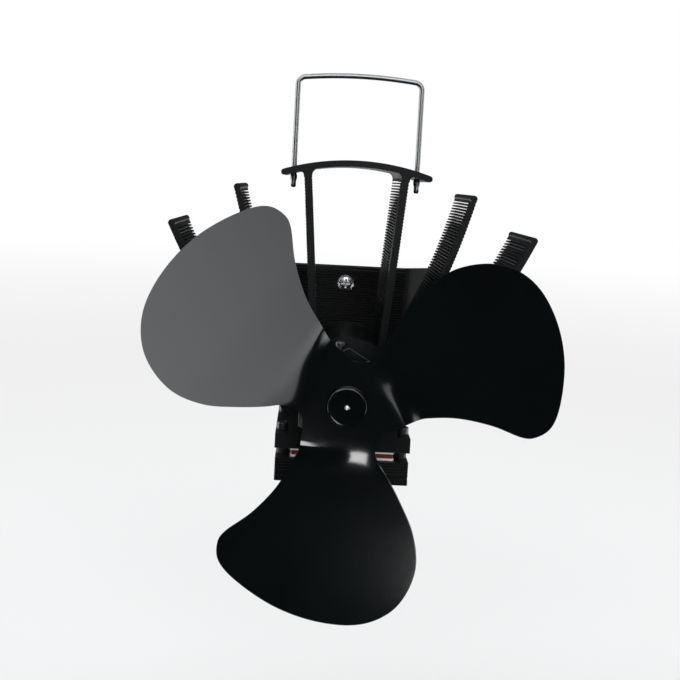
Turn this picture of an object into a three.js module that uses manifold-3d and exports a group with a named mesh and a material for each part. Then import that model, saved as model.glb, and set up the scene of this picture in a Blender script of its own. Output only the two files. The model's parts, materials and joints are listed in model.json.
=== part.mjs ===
// A magnet-held fan for a stove's flue pipe, driven by a thermoelectric module.
// Millimetres, +Z up. The fan faces -Y and the flue pipe stands behind it.
// The origin is on the pipe's front line, at the height of the motor axis, so the motor axis
// runs along Y through the origin.

import * as THREE from 'three';
import { mergeGeometries, mergeVertices } from 'three/addons/utils/BufferGeometryUtils.js';
import Module from 'manifold-3d';

// Shared clearances
const seatGap = 0.3; // under a piece that rests on a slanted face
const slipGap = 0.15; // round a piece in its hole
const runningGap = 0.08; // round the turning shaft
const cutOverrun = 1; // how far a cutter passes what it cuts

// Flue pipe that the saddle fits
const pipeRadius = 65;

// Saddle plate: a flat web and two wings that hug the pipe
const saddleThickness = 3;
const wingDegrees = 33;
const saddleTop = 44;
const saddleBottom = -18;
const saddleCornerRadius = 4;
const wingMargin = 1.5; // from the magnet's rim to the wing's edge

// Saddle magnets
const magnetRadius = 9;
const magnetThickness = 4.7;
const magnetChamfer = 0.4;
const magnetInset = 12; // from the saddle's top or bottom edge to the magnet's centre
const magnetScrewRadius = 1.5;
const magnetScrewHeadRadius = 3;

// Hot bracket: one extrusion along X, a wall on the saddle and a shelf under the module
const bracketMargin = 0.85; // from the clamp screw's thread to the bracket's end
const wallThickness = 6;
const wallTop = 44;
const shelfThickness = 9.1;
const ridgePitch = 1.15;
const ridgeDepth = 0.5;
const ridgeLandShare = 0.5; // of the pitch
const ridgeSlope = 0.25; // of a ridge's flank, over its depth
const shelfLandHeight = 0.9;
const shelfGrooveHeight = 1.3;
const shelfGrooveDepth = 0.9;
const shelfFineRidges = 4;
const bracketFillet = 4;

// Bracket screws, M4 pan heads
const panScrewRadius = 2;
const panHeadRadius = 3.8;
const panHeadHeight = 2.4;
const panHeadRim = 0.7;
const panScrewUpper = 37;
const panScrewLower = -8;
const crossWidth = 0.9;
const crossSpan = 4;
const crossDepth = 1.4;

// Heat sink body and foot
const sinkDepth = 45;
const sinkToWall = 12.5;
const bodyRadius = 22;
const cheekInset = 1.1; // from the body's side to the cheek below it
const footRise = 5.7; // of the foot's top over the body's lowest line
const footMargin = 0.15; // from the clamp screw's head to the foot's end
const footThickness = 5.6;

// Central arms and the top plate that they carry
const centralArmThickness = 3;
const centralArmRootX = 12.8;
const centralArmTopX = 18.6;
const topPlateRadius = 89.1;
const topPlateThickness = 2.4;
const topPlateHalfWidth = 27.7;
const topPlateFillet = 2.4;

// Side arms: each leaves the body and bends up to its tip
const sideArmThickness = 2.2;
const innerArmRootDegrees = 33.7; // round the body
const innerArmBend = new THREE.Vector2(34.6, 38);
const innerArmTip = new THREE.Vector2(44.95, 77.5);
const farArmRootDegrees = -30.6;
const farArmBend = new THREE.Vector2(49, 20);
const farArmTip = new THREE.Vector2(69, 62.7);
const armRootDepth = 0.9; // how far an arm's centre line starts inside the body
const tipBeadRadius = 1.3;
const tipBeadRise = 0.75; // over the arm's end
const rootFillet = 2.6;

// Comb slots, cut into every arm from behind
const combPitch = 1.15;
const combGap = 0.52;
const combBarDepth = 5; // the front of the arm stays solid
const combTipHeight = 2.3; // the topmost tooth
const combRootMargin = 4.6; // from the body to the lowest slot
const combClearance = 1.3; // on each side of a leaning arm

// Thermoelectric module
const moduleWidth = 40;
const moduleHeight = 3.3;
const moduleSetback = 1.5;
const ceramicThickness = 0.75;
const graphiteThickness = 0.25;
const sealInset = 0.5;
const sealWidth = 1.6;
const pelletWidth = 3.6;
const pelletsPerSide = 4;
const linkThickness = 0.4;

// Clamp screws that pull the foot down on the module
const clampHeadGap = 0.4; // from the cheek to the screw's head
const clampModuleGap = 1.2; // from the module to the bush
const clampInset = 8;
const clampScrewRadius = 1.25;
const clampHeadRadius = 2.3;
const clampHeadHeight = 2.5;
const clampHeadChamfer = 0.3;
const clampSocketRadius = 1.1;
const clampSocketDepth = 1.2;
const clampThreadDepth = 6.5;
const bushWall = 0.5;
const bushFlangeThickness = 0.4;

// Motor housing: a hexagonal head in front of the heat sink and a round spigot in its bore
const housingAcrossFlats = 34.8;
const noseReach = 12;
const noseChamfer = 0.5;
const spigotRadius = 15;
const spigotLength = 16;
const housingFrontWall = 2;

// Motor set screw
const setScrewX = -3.2;
const setScrewRadius = 1;
const setScrewHeadRadius = 1.9;
const setScrewHeadHeight = 1.8;
const setScrewHeadRim = 0.8;
const setScrewSetback = 6;

// Motor
const canRadius = 12.2;
const canLength = 18.6;
const canWall = 1;
const canNoseRadius = 3.6;
const canNoseHeight = 1.4;
const bearingRadius = 2.8;
const bearingLength = 3;
const endCapThickness = 2;
const fieldMagnetThickness = 2.6;
const fieldMagnetLength = 11;
const fieldMagnetDegrees = 130;
const airGap = 0.5;
const armatureLength = 9;
const poleCount = 3;
const poleWidth = 2.6;
const poleSpanShare = 0.8;
const coreRadius = 2.6;
const poleTipThickness = 1.4;
const commutatorRadius = 2.2;
const commutatorLength = 2.6;
const brushWidth = 1.2;
const brushLength = 2.4;
const terminalWidth = 1.6;
const terminalThickness = 0.4;
const terminalLength = 4;
const terminalSpacing = 12;

// Shaft, hub boss and fan sheet
const shaftRadius = 1;
const shaftReach = 1.6; // past the hub boss
const shaftDome = 0.7;
const bladeStandoff = 19.5; // from the heat sink's front to the middle of the sheet
const sheetThickness = 1;
const bossRadius = 7.25;
const bossThickness = 2;
const bossChamfer = 0.6;
const spigotBossRadius = 4;
const collarRadius = 4.6;
const collarLength = 4.2;
const bladeCount = 3;
const bladeRadius = 81.5;
const bladeAxisDegrees = 23.6; // of the right-hand blade, from +X towards +Z
const bladePitchShare = 0.264; // rise for each length across the blade
const bladeBendStart = 12;
const bladeBendEnd = 26;
const bladeHollow = 2.3; // how far the middle of a blade lies behind its edges

// One blade's edge from gap to gap: degrees from the blade's axis, and shares of bladeRadius
const bladeEdgeShares = [
  [-59.2, 0.203], [-48.2, 0.241], [-38.8, 0.283], [-32.6, 0.374], [-29.6, 0.51], [-30.7, 0.679],
  [-33.1, 0.837], [-32.7, 0.882], [-29.7, 0.946], [-25, 0.976], [-10.3, 1.006], [3, 1.011],
  [14, 0.99], [23.2, 0.92], [31.8, 0.785], [36.6, 0.637], [38.3, 0.482], [38.6, 0.365],
  [38, 0.284], [44.4, 0.22], [60.8, 0.203],
];

// Wire bail
const wireRadius = 1;
const bailSetback = 15; // behind the heat sink's front
const bailHalfWidth = 24;
const bailTop = 121.3;
const bailBow = 2;
const bailCornerRadius = 3;
const bailStub = 5;
const crimpHalfWidth = 1.5;
const crimpHeight = 1.8;
const crimpDrop = 0.9; // under the plate's lower face

// Module leads, clipped between the foot and the bracket and up behind the heat sink
const leadRadius = 0.7;
const leadSpacing = 16;
const leadRise = 3; // from the heat sink's back to the lead
const leadBend = 4;

// Facets
const roundSides = 36;
const smallSides = 16;
const wireSides = 10;
const arcSteps = 5; // for each half of an arc in an outline
const armSteps = 7;
const pinSides = 12;

// Places worked out from the sizes above
const cheekHalfWidth = bodyRadius - cheekInset;
const cheekTop = -Math.sqrt(bodyRadius ** 2 - cheekHalfWidth ** 2);
const clampX = Math.max(cheekHalfWidth + clampHeadGap + clampHeadRadius,
  moduleWidth / 2 + clampModuleGap + bushOuterRadius()); // clear of the cheek and the module
const footHalfWidth = clampX + clampHeadRadius + footMargin;
const footTop = footRise - bodyRadius;
const bracketHalfWidth = clampX + clampScrewRadius + bracketMargin;
const innerArmRoot = onBody(innerArmRootDegrees);
const farArmRoot = onBody(farArmRootDegrees);
const wing = THREE.MathUtils.degToRad(wingDegrees);
const wingFace = pipeRadius + magnetThickness + seatGap; // from the pipe's centre
const bendX = bracketHalfWidth + seatGap;
const webBack = pipeRadius - (wingFace - bendX * Math.sin(wing)) / Math.cos(wing);
const webFront = webBack - saddleThickness;
const wallFront = webFront - wallThickness;
const sinkBack = wallFront - sinkToWall;
const sinkFront = sinkBack - sinkDepth;
const noseFront = sinkFront - noseReach;
const bladePlane = sinkFront - bladeStandoff;
const footBottom = footTop - footThickness;
const moduleTop = footBottom - graphiteThickness;
const moduleBottom = moduleTop - moduleHeight;
const shelfTop = moduleBottom - graphiteThickness;
const shelfBottom = shelfTop - shelfThickness;
const moduleFront = sinkFront + moduleSetback;
const moduleBack = moduleFront + moduleWidth;
const motorRadius = canRadius + slipGap;
const canFront = noseFront + housingFrontWall;
const canBack = canFront + canLength;
const motorBack = canBack + endCapThickness;
const bailY = sinkFront + bailSetback;
const bailPlateTop = Math.sqrt(topPlateRadius ** 2 - bailHalfWidth ** 2);
const bailPlateBottom = Math.sqrt((topPlateRadius - topPlateThickness) ** 2 - bailHalfWidth ** 2);
const hexCornerRadius = housingAcrossFlats / 2 / Math.cos(Math.PI / 6);

// A point just inside the body's round side
function onBody(degrees) {
  const angle = THREE.MathUtils.degToRad(degrees);
  return new THREE.Vector2(Math.cos(angle), Math.sin(angle)).multiplyScalar(bodyRadius - armRootDepth);
}

const wasm = await Module();
wasm.setup();

const fan = new THREE.Group();

// Helpers: closed geometry to a solid and back

function solid(geometry) {
  const bare = geometry.clone();
  bare.deleteAttribute('normal');
  bare.deleteAttribute('uv');
  const merged = mergeVertices(bare);
  const corners = merged.index.array;
  const triangles = [];
  for (let i = 0; i < corners.length; i += 3) {
    const [a, b, c] = corners.slice(i, i + 3);
    if (a !== b && b !== c && c !== a) triangles.push(a, b, c);
  }
  const vertProperties = merged.attributes.position.array;
  const mesh = new wasm.Mesh({ numProp: 3, vertProperties, triVerts: Uint32Array.from(triangles) });
  return new wasm.Manifold(mesh);
}

function geometryOf(body) {
  const mesh = body.getMesh();
  const geometry = new THREE.BufferGeometry();
  geometry.setAttribute('position', new THREE.BufferAttribute(mesh.vertProperties, 3));
  geometry.setIndex(new THREE.BufferAttribute(mesh.triVerts, 1));
  geometry.computeVertexNormals();
  return geometry;
}

function join(...geometries) {
  return geometryOf(geometries.map(solid).reduce((all, next) => all.add(next)));
}

function cut(geometry, ...cutters) {
  return geometryOf(cutters.map(solid).reduce((left, cutter) => left.subtract(cutter), solid(geometry)));
}

function overlapOf(first, second) {
  return geometryOf(solid(first).intersect(solid(second)));
}

// Helpers: prisms along each axis, discs and turned profiles

function extruded(shape, depth) {
  return new THREE.ExtrudeGeometry(shape, { depth, bevelEnabled: false, curveSegments: arcSteps });
}

function prismY(shape, front, back) {
  const geometry = extruded(shape, back - front);
  return geometry.rotateX(Math.PI / 2).translate(0, back, 0);
}

function prismX(shape, left, right) {
  const geometry = extruded(shape, right - left);
  const turn = new THREE.Matrix4();
  turn.makeBasis(new THREE.Vector3(0, 1, 0), new THREE.Vector3(0, 0, 1), new THREE.Vector3(1, 0, 0));
  return geometry.applyMatrix4(turn).translate(left, 0, 0);
}

function prismZ(shape, bottom, top) {
  const geometry = extruded(shape, top - bottom);
  return geometry.translate(0, 0, bottom);
}

function boxBetween(x0, x1, y0, y1, z0, z1) {
  const geometry = new THREE.BoxGeometry(x1 - x0, y1 - y0, z1 - z0);
  return geometry.translate((x0 + x1) / 2, (y0 + y1) / 2, (z0 + z1) / 2);
}

function rodY(radius, front, back, sides = roundSides) {
  const geometry = new THREE.CylinderGeometry(radius, radius, back - front, sides);
  return geometry.translate(0, (front + back) / 2, 0);
}

function rodZ(radius, bottom, top, sides = smallSides) {
  const geometry = new THREE.CylinderGeometry(radius, radius, top - bottom, sides);
  return geometry.rotateX(Math.PI / 2).translate(0, 0, (bottom + top) / 2);
}

// A profile of [radius, height] pairs, turned about Y, up its outer side
function turnedY(profile, sides = roundSides) {
  return new THREE.LatheGeometry(profile.map(([r, y]) => new THREE.Vector2(r, y)), sides);
}

// The same, turned about Z
function turnedZ(profile, sides = smallSides) {
  return turnedY(profile, sides).rotateX(Math.PI / 2);
}

// A quarter of an ellipse from the axis out to the rim, as [radius, level] pairs
function domePoints(radius, rim, crown, steps = 4) {
  const points = [];
  for (let i = 0; i <= steps; i++) {
    const angle = (i / steps) * (Math.PI / 2);
    points.push([radius * Math.sin(angle), rim + (crown - rim) * Math.cos(angle)]);
  }
  points[0][0] = 0;
  return points;
}

function ringProfile(inner, outer, bottom, top) {
  return [[inner, bottom], [outer, bottom], [outer, top], [inner, top], [inner, bottom]];
}

function outline(points) {
  return new THREE.Shape(points.map(([x, y]) => new THREE.Vector2(x, y)));
}

function roundedRectangle(x0, x1, y0, y1, radius) {
  const shape = new THREE.Shape();
  shape.moveTo(x0 + radius, y0);
  shape.lineTo(x1 - radius, y0);
  shape.absarc(x1 - radius, y0 + radius, radius, -Math.PI / 2, 0);
  shape.absarc(x1 - radius, y1 - radius, radius, 0, Math.PI / 2);
  shape.absarc(x0 + radius, y1 - radius, radius, Math.PI / 2, Math.PI);
  shape.absarc(x0 + radius, y0 + radius, radius, Math.PI, 1.5 * Math.PI);
  return shape;
}

// A path through listed points, so that an extrusion along it takes one step to each point
class WirePath extends THREE.Curve {
  constructor(points) {
    super();
    this.points = points;
  }

  getPoint(share, target = new THREE.Vector3()) {
    const place = THREE.MathUtils.clamp(share, 0, 1) * (this.points.length - 1);
    const i = Math.min(Math.floor(place), this.points.length - 2);
    return target.lerpVectors(this.points[i], this.points[i + 1], place - i);
  }

  getPointAt(share, target) {
    return this.getPoint(share, target);
  }

  getTangentAt(share, target) {
    return this.getTangent(share, target);
  }
}

function wireAlong(points, radius) {
  const section = new THREE.Shape().absarc(0, 0, radius, 0, 2 * Math.PI);
  return new THREE.ExtrudeGeometry(section, {
    steps: points.length - 1,
    bevelEnabled: false,
    extrudePath: new WirePath(points),
    curveSegments: wireSides / 2,
  });
}

// Helpers: naming and mirroring

function addPiece(name, geometry, look, parent = fan) {
  const mesh = new THREE.Mesh(geometry, new THREE.MeshStandardMaterial(look));
  mesh.name = name;
  parent.add(mesh);
  return mesh;
}

function mirrored(points) {
  return points.map((point) => new THREE.Vector2(-point.x, point.y)).reverse();
}

const anodised = { color: 0x141617, roughness: 0.55, metalness: 0.6 };
const satinBlack = { color: 0x101113, roughness: 0.35, metalness: 0.6 };
const steel = { color: 0xb9bcc0, roughness: 0.3, metalness: 1 };
const zinc = { color: 0xa9acb0, roughness: 0.35, metalness: 1 };
const bronze = { color: 0xa0743c, roughness: 0.5, metalness: 0.9 };
const copper = { color: 0xb8683a, roughness: 0.4, metalness: 1 };
const blackPlastic = { color: 0x17181a, roughness: 0.6, metalness: 0 };
const whiteCeramic = { color: 0xe9e7e1, roughness: 0.55, metalness: 0 };
const redSilicone = { color: 0x8c1622, roughness: 0.6, metalness: 0 };
const graphite = { color: 0x3a3c3f, roughness: 0.5, metalness: 0.3 };
const ferrite = { color: 0x2b2c2e, roughness: 0.8, metalness: 0.1 };
const nickel = { color: 0xc4c5c3, roughness: 0.25, metalness: 1 };

// Heat sink

// The outline of an arm of even thickness along a bent centre line
function armPoints(root, bend, tip, thickness) {
  const line = new THREE.QuadraticBezierCurve(root, bend, tip);
  const steps = armSteps;
  const near = [];
  const far = [];
  for (let i = 0; i <= steps; i++) {
    const point = line.getPoint(i / steps);
    const tangent = line.getTangent(i / steps);
    const side = new THREE.Vector2(-tangent.y, tangent.x).multiplyScalar(thickness / 2);
    near.push(point.clone().sub(side));
    far.push(point.clone().add(side));
  }
  return [...near, ...far.reverse()];
}

// The filled corner between two edges that meet, rounded on the open side
function filletPoints(corner, along, across, size) {
  const start = corner.clone().addScaledVector(along, size);
  const end = corner.clone().addScaledVector(across, size);
  const inside = corner.clone().addScaledVector(along.clone().add(across), -size / 4);
  const curve = new THREE.QuadraticBezierCurve(start, corner, end);
  const points = [inside, ...curve.getPoints(4)];
  return THREE.ShapeUtils.area(points) < 0 ? points.reverse() : points;
}

// Fillets on both sides of an arm where it leaves the round body
function rootFillets(root, toward, thickness) {
  const tangent = toward.clone().sub(root).normalize();
  const side = new THREE.Vector2(-tangent.y, tangent.x);
  return [1, -1].map((sign) => {
    const edge = root.clone().addScaledVector(side, sign * thickness / 2);
    const along = edge.dot(tangent);
    const reach = -along + Math.sqrt(along ** 2 + bodyRadius ** 2 - edge.lengthSq());
    const corner = edge.addScaledVector(tangent, reach);
    const around = new THREE.Vector2(-corner.y, corner.x).normalize().multiplyScalar(sign);
    return filletPoints(corner, tangent, around, rootFillet);
  });
}

function topPlateShape() {
  const middle = topPlateRadius - topPlateThickness / 2;
  const half = Math.asin(topPlateHalfWidth / topPlateRadius);
  const right = Math.PI / 2 - half;
  const left = Math.PI / 2 + half;
  const end = new THREE.Vector2(Math.cos(left), Math.sin(left)).multiplyScalar(middle);
  const start = new THREE.Vector2(Math.cos(right), Math.sin(right)).multiplyScalar(middle);
  const shape = new THREE.Shape();
  shape.absarc(0, 0, topPlateRadius, right, left);
  shape.absarc(end.x, end.y, topPlateThickness / 2, left, left + Math.PI);
  shape.absarc(0, 0, topPlateRadius - topPlateThickness, left, right, true);
  shape.absarc(start.x, start.y, topPlateThickness / 2, right + Math.PI, right + 2 * Math.PI);
  return shape;
}

// The heights of the comb slots between a floor and a ceiling, on one grid for every arm
function combLevels(floor, ceiling) {
  const levels = [];
  for (let i = Math.ceil(floor / combPitch); i * combPitch < ceiling; i++) levels.push(i * combPitch);
  return levels;
}

function combSlot(x, halfWidth, level) {
  const front = sinkFront + combBarDepth;
  const back = sinkBack + cutOverrun;
  return boxBetween(x - halfWidth, x + halfWidth, front, back, level, level + combGap);
}

function sideArmSlots(root, bend, tip) {
  const line = new THREE.QuadraticBezierCurve(root, bend, tip);
  const samples = line.getPoints(200);
  const outside = samples.find((point) => point.length() > bodyRadius + combRootMargin);
  return combLevels(outside.y, tip.y - combTipHeight).map((level) => {
    const point = samples.find((sample) => sample.y >= level);
    return combSlot(point.x, sideArmThickness + combClearance, level);
  });
}

function centralArmX(level, rootZ, topZ) {
  return THREE.MathUtils.mapLinear(level, rootZ, topZ, centralArmRootX, centralArmTopX);
}

function makeHeatSink() {
  const plateInner = topPlateRadius - topPlateThickness;
  const centralRootZ = Math.sqrt(bodyRadius ** 2 - centralArmRootX ** 2) - centralArmThickness / 2;
  const centralTopZ = Math.sqrt(plateInner ** 2 - centralArmTopX ** 2) + topPlateThickness / 2;
  const centralRoot = new THREE.Vector2(centralArmRootX, centralRootZ);
  const centralTop = new THREE.Vector2(centralArmTopX, centralTopZ);
  const centralBend = centralRoot.clone().lerp(centralTop, 0.5);
  const upward = centralTop.clone().sub(centralRoot).normalize();
  const sideways = new THREE.Vector2(upward.y, -upward.x);

  // Where the central arm meets the plate, outside and inside
  const plateFillets = [1, -1].map((sign) => {
    const edge = centralRoot.clone().addScaledVector(sideways, sign * centralArmThickness / 2);
    const along = edge.dot(upward);
    const reach = -along + Math.sqrt(along ** 2 + plateInner ** 2 - edge.lengthSq());
    const corner = edge.addScaledVector(upward, reach);
    const around = new THREE.Vector2(corner.y, -corner.x).normalize().multiplyScalar(sign);
    return filletPoints(corner, upward.clone().negate(), around, topPlateFillet);
  });

  const oneSide = [
    armPoints(centralRoot, centralBend, centralTop, centralArmThickness),
    armPoints(innerArmRoot, innerArmBend, innerArmTip, sideArmThickness),
    armPoints(farArmRoot, farArmBend, farArmTip, sideArmThickness),
    ...plateFillets,
    ...rootFillets(centralRoot, centralTop, centralArmThickness),
    ...rootFillets(innerArmRoot, innerArmBend, sideArmThickness),
  ];
  const shapes = [...oneSide, ...oneSide.map(mirrored)].map((points) => new THREE.Shape(points));

  // A bead flush with the outer side of every side arm's tip, standing over its end
  for (const [bend, tip] of [[innerArmBend, innerArmTip], [farArmBend, farArmTip]]) {
    const tangent = tip.clone().sub(bend).normalize();
    const outer = new THREE.Vector2(tangent.y, -tangent.x);
    const bead = tip.clone().addScaledVector(outer, sideArmThickness / 2 - tipBeadRadius);
    bead.addScaledVector(tangent, tipBeadRise - tipBeadRadius);
    for (const sign of [1, -1]) {
      shapes.push(new THREE.Shape().absarc(sign * bead.x, bead.y, tipBeadRadius, 0, 2 * Math.PI));
    }
  }

  shapes.push(
    topPlateShape(),
    outline([[-footHalfWidth, footBottom], [footHalfWidth, footBottom], [footHalfWidth, footTop],
      [-footHalfWidth, footTop]]),
    outline([[-cheekHalfWidth, footBottom], [cheekHalfWidth, footBottom], [cheekHalfWidth, cheekTop],
      [-cheekHalfWidth, cheekTop]]),
  );
  const body = join(
    rodY(bodyRadius, sinkFront, sinkBack),
    ...shapes.map((shape) => prismY(shape, sinkFront, sinkBack)),
  );

  // Comb slots, all cut at once
  const centralFloor = bodyRadius + combRootMargin;
  const centralCeiling = Math.sqrt(plateInner ** 2 - centralArmTopX ** 2) - combTipHeight;
  const slots = [
    ...combLevels(centralFloor, centralCeiling).map((level) => (
      combSlot(centralArmX(level, centralRootZ, centralTopZ), centralArmThickness, level)
    )),
    ...sideArmSlots(innerArmRoot, innerArmBend, innerArmTip),
    ...sideArmSlots(farArmRoot, farArmBend, farArmTip),
  ];
  const bothSides = [...slots, ...slots.map((slot) => slot.clone().rotateZ(Math.PI)
    .translate(0, sinkFront + combBarDepth + sinkBack + cutOverrun, 0))];

  // Round bore for the motor housing, holes for the clamp bushes and the bail
  const under = footBottom - bodyRadius;
  const holes = [
    rodY(spigotRadius + slipGap, sinkFront - cutOverrun, sinkBack + cutOverrun),
    boxBetween(-bodyRadius, bodyRadius, sinkFront - cutOverrun, sinkBack + cutOverrun, under, footBottom),
  ];
  for (const [x, y] of clampPlaces()) {
    const hole = rodZ(bushOuterRadius() + slipGap, footBottom - cutOverrun, footTop + cutOverrun);
    holes.push(hole.translate(x, y, 0));
  }
  for (const sign of [1, -1]) {
    const bottom = bailPlateBottom - topPlateThickness;
    const hole = rodZ(wireRadius + slipGap, bottom, bailPlateTop + topPlateThickness);
    holes.push(hole.translate(sign * bailHalfWidth, bailY, 0));
  }
  return cut(body, mergeGeometries(bothSides), ...holes);
}

// Clamp screws and their insulating bushes

function clampPlaces() {
  const places = [];
  for (const y of [sinkFront + clampInset, sinkBack - clampInset]) {
    for (const x of [-clampX, clampX]) places.push([x, y]);
  }
  return places;
}

function bushOuterRadius() {
  return clampScrewRadius + slipGap + bushWall;
}

function makeClampBush() {
  const bore = clampScrewRadius + slipGap;
  const flangeTop = footTop + bushFlangeThickness;
  return turnedZ([
    [bore, shelfTop], [bushOuterRadius(), shelfTop], [bushOuterRadius(), footTop],
    [clampHeadRadius, footTop], [clampHeadRadius, flangeTop], [bore, flangeTop], [bore, shelfTop],
  ], pinSides);
}

function makeClampScrew() {
  const seat = footTop + bushFlangeThickness;
  const top = seat + clampHeadHeight;
  return turnedZ([
    [0, shelfTop - clampThreadDepth], [clampScrewRadius, shelfTop - clampThreadDepth],
    [clampScrewRadius, seat], [clampHeadRadius, seat], [clampHeadRadius, top - clampHeadChamfer],
    [clampHeadRadius - clampHeadChamfer, top], [clampSocketRadius, top],
    [clampSocketRadius, top - clampSocketDepth], [0, top - clampSocketDepth],
  ], pinSides);
}

// Hot bracket

function bracketShape() {
  const shelfFront = sinkFront;
  const points = [[webFront, shelfBottom], [webFront, wallTop], [wallFront + ridgeDepth, wallTop]];
  const land = ridgePitch * ridgeLandShare;

  // Ridges down the wall
  let level = wallTop - ridgePitch;
  while (level - ridgePitch > shelfTop + bracketFillet) {
    points.push([wallFront + ridgeDepth, level], [wallFront, level - ridgeSlope]);
    points.push([wallFront, level - land + ridgeSlope], [wallFront + ridgeDepth, level - land]);
    level -= ridgePitch;
  }

  // Fillet down to the shelf, then the shelf's ridged front
  const inner = wallFront + ridgeDepth;
  const fillet = new THREE.QuadraticBezierCurve(
    new THREE.Vector2(inner, shelfTop + bracketFillet),
    new THREE.Vector2(inner, shelfTop),
    new THREE.Vector2(inner - bracketFillet, shelfTop),
  );
  fillet.getPoints(5).forEach((point) => points.push([point.x, point.y]));
  points.push([shelfFront, shelfTop]);
  let front = shelfTop;
  for (let i = 0; i < shelfFineRidges; i++) {
    points.push([shelfFront, front - land], [shelfFront + ridgeDepth, front - land]);
    front -= ridgePitch;
    points.push([shelfFront + ridgeDepth, front], [shelfFront, front]);
  }
  front -= shelfLandHeight;
  points.push([shelfFront, front], [shelfFront + shelfGrooveDepth, front]);
  front -= shelfGrooveHeight;
  points.push([shelfFront + shelfGrooveDepth, front], [shelfFront, front]);
  points.push([shelfFront, shelfBottom + ridgeDepth], [shelfFront + ridgeDepth, shelfBottom]);
  return outline(points);
}

function makeHotBracket() {
  const blank = prismX(bracketShape(), -bracketHalfWidth, bracketHalfWidth);
  const holes = [];
  for (const z of [panScrewUpper, panScrewLower]) {
    const bore = rodY(panScrewRadius + slipGap, wallFront - cutOverrun, webFront + cutOverrun, smallSides);
    const spotFace = rodY(panHeadRadius + seatGap, wallFront - cutOverrun, wallFront + ridgeDepth, smallSides);
    holes.push(bore.translate(0, 0, z), spotFace.translate(0, 0, z));
  }
  for (const [x, y] of clampPlaces()) {
    const depth = shelfTop - clampThreadDepth - cutOverrun;
    holes.push(rodZ(clampScrewRadius + slipGap, depth, shelfTop + cutOverrun).translate(x, y, 0));
  }
  return cut(blank, ...holes);
}

// Pan-head screw along Y, its head to the front and resting on the spot face
function makePanScrew() {
  const seat = wallFront + ridgeDepth;
  const crown = seat - panHeadHeight;
  const blank = turnedY([
    ...domePoints(panHeadRadius, seat - panHeadRim, crown),
    [panHeadRadius, seat], [panScrewRadius, seat], [panScrewRadius, webBack], [0, webBack],
  ], smallSides);
  const top = crown - cutOverrun;
  const floor = crown + crossDepth;
  const half = crossSpan / 2;
  return cut(
    blank,
    boxBetween(-half, half, top, floor, -crossWidth / 2, crossWidth / 2),
    boxBetween(-crossWidth / 2, crossWidth / 2, top, floor, -half, half),
  );
}

// Saddle plate, magnets and their screws

// Both bends of the plate as [x, y], from the right tip round to the left, inner side first
function saddlePoints() {
  const along = new THREE.Vector2(Math.cos(wing), Math.sin(wing));
  const outward = new THREE.Vector2(Math.sin(wing), -Math.cos(wing));
  const bend = new THREE.Vector2(bendX, webBack);
  const contact = outward.clone().multiplyScalar(wingFace).add(new THREE.Vector2(0, pipeRadius));
  const reach = contact.sub(bend).dot(along) + magnetRadius + wingMargin;
  const tip = bend.clone().addScaledVector(along, reach);
  const outerTip = tip.clone().addScaledVector(outward, saddleThickness);
  const outerBend = new THREE.Vector2(bendX + saddleThickness * Math.tan(wing / 2), webFront);
  return { bend, tip, outerTip, outerBend };
}

function saddleShape() {
  const { bend, tip, outerTip, outerBend } = saddlePoints();
  const radius = saddleThickness;
  const softCorner = (from, corner, to) => {
    const start = corner.clone().addScaledVector(from.clone().sub(corner).normalize(), radius);
    const end = corner.clone().addScaledVector(to.clone().sub(corner).normalize(), radius);
    return new THREE.QuadraticBezierCurve(start, corner, end).getPoints(4);
  };
  const middleBack = new THREE.Vector2(0, webBack);
  const middleFront = new THREE.Vector2(0, webFront);
  const right = [
    ...softCorner(middleFront, outerBend, outerTip), outerTip, tip, ...softCorner(tip, bend, middleBack),
  ];
  return new THREE.Shape([...right, ...mirrored(right)]);
}

function magnetLevels() {
  return { upper: saddleTop - magnetInset, lower: saddleBottom + magnetInset };
}

// A geometry placed against one wing: local -Y points away from the pipe's centre
function ontoWing(geometry, sign, level) {
  return geometry.rotateZ(sign * wing).translate(0, pipeRadius, level);
}

function makeSaddlePlate() {
  const { tip } = saddlePoints();
  const bent = prismZ(saddleShape(), saddleBottom, saddleTop);
  const face = roundedRectangle(-tip.x, tip.x, saddleBottom, saddleTop, saddleCornerRadius);
  const deep = tip.y + saddleThickness;
  const blank = overlapOf(bent, prismY(face, webFront - cutOverrun, deep));
  const holes = [panScrewUpper, panScrewLower].map((z) => (
    rodY(panScrewRadius + slipGap, webFront - cutOverrun, webBack + cutOverrun, smallSides).translate(0, 0, z)
  ));
  for (const sign of [1, -1]) {
    for (const level of Object.values(magnetLevels())) {
      const outer = -wingFace - saddleThickness - cutOverrun;
      const hole = rodY(magnetScrewRadius + slipGap, outer, -wingFace + cutOverrun, smallSides);
      holes.push(ontoWing(hole, sign, level));
    }
  }
  return cut(blank, ...holes);
}

function makeSaddleMagnet() {
  const outer = -pipeRadius - magnetThickness;
  const inner = -pipeRadius;
  const bore = magnetScrewRadius + slipGap;
  const sink = magnetScrewHeadRadius + slipGap;
  const rim = magnetChamfer;
  return turnedY([
    [bore, outer], [magnetRadius - rim, outer], [magnetRadius, outer + rim], [magnetRadius, inner - rim],
    [magnetRadius - rim, inner], [sink + rim, inner], [bore, inner - sink - rim + bore], [bore, outer],
  ], roundSides / 2);
}

function makeMagnetScrew() {
  const head = -pipeRadius - magnetChamfer;
  const neck = head - magnetScrewHeadRadius + magnetScrewRadius;
  const end = -wingFace - saddleThickness;
  return turnedY([
    [0, end], [magnetScrewRadius, end], [magnetScrewRadius, neck], [magnetScrewHeadRadius, head], [0, head],
  ], smallSides);
}

// Thermoelectric module and graphite sheets

function moduleSlab(inset, bottom, top) {
  const half = moduleWidth / 2 - inset;
  return boxBetween(-half, half, moduleFront + inset, moduleBack - inset, bottom, top);
}

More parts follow.
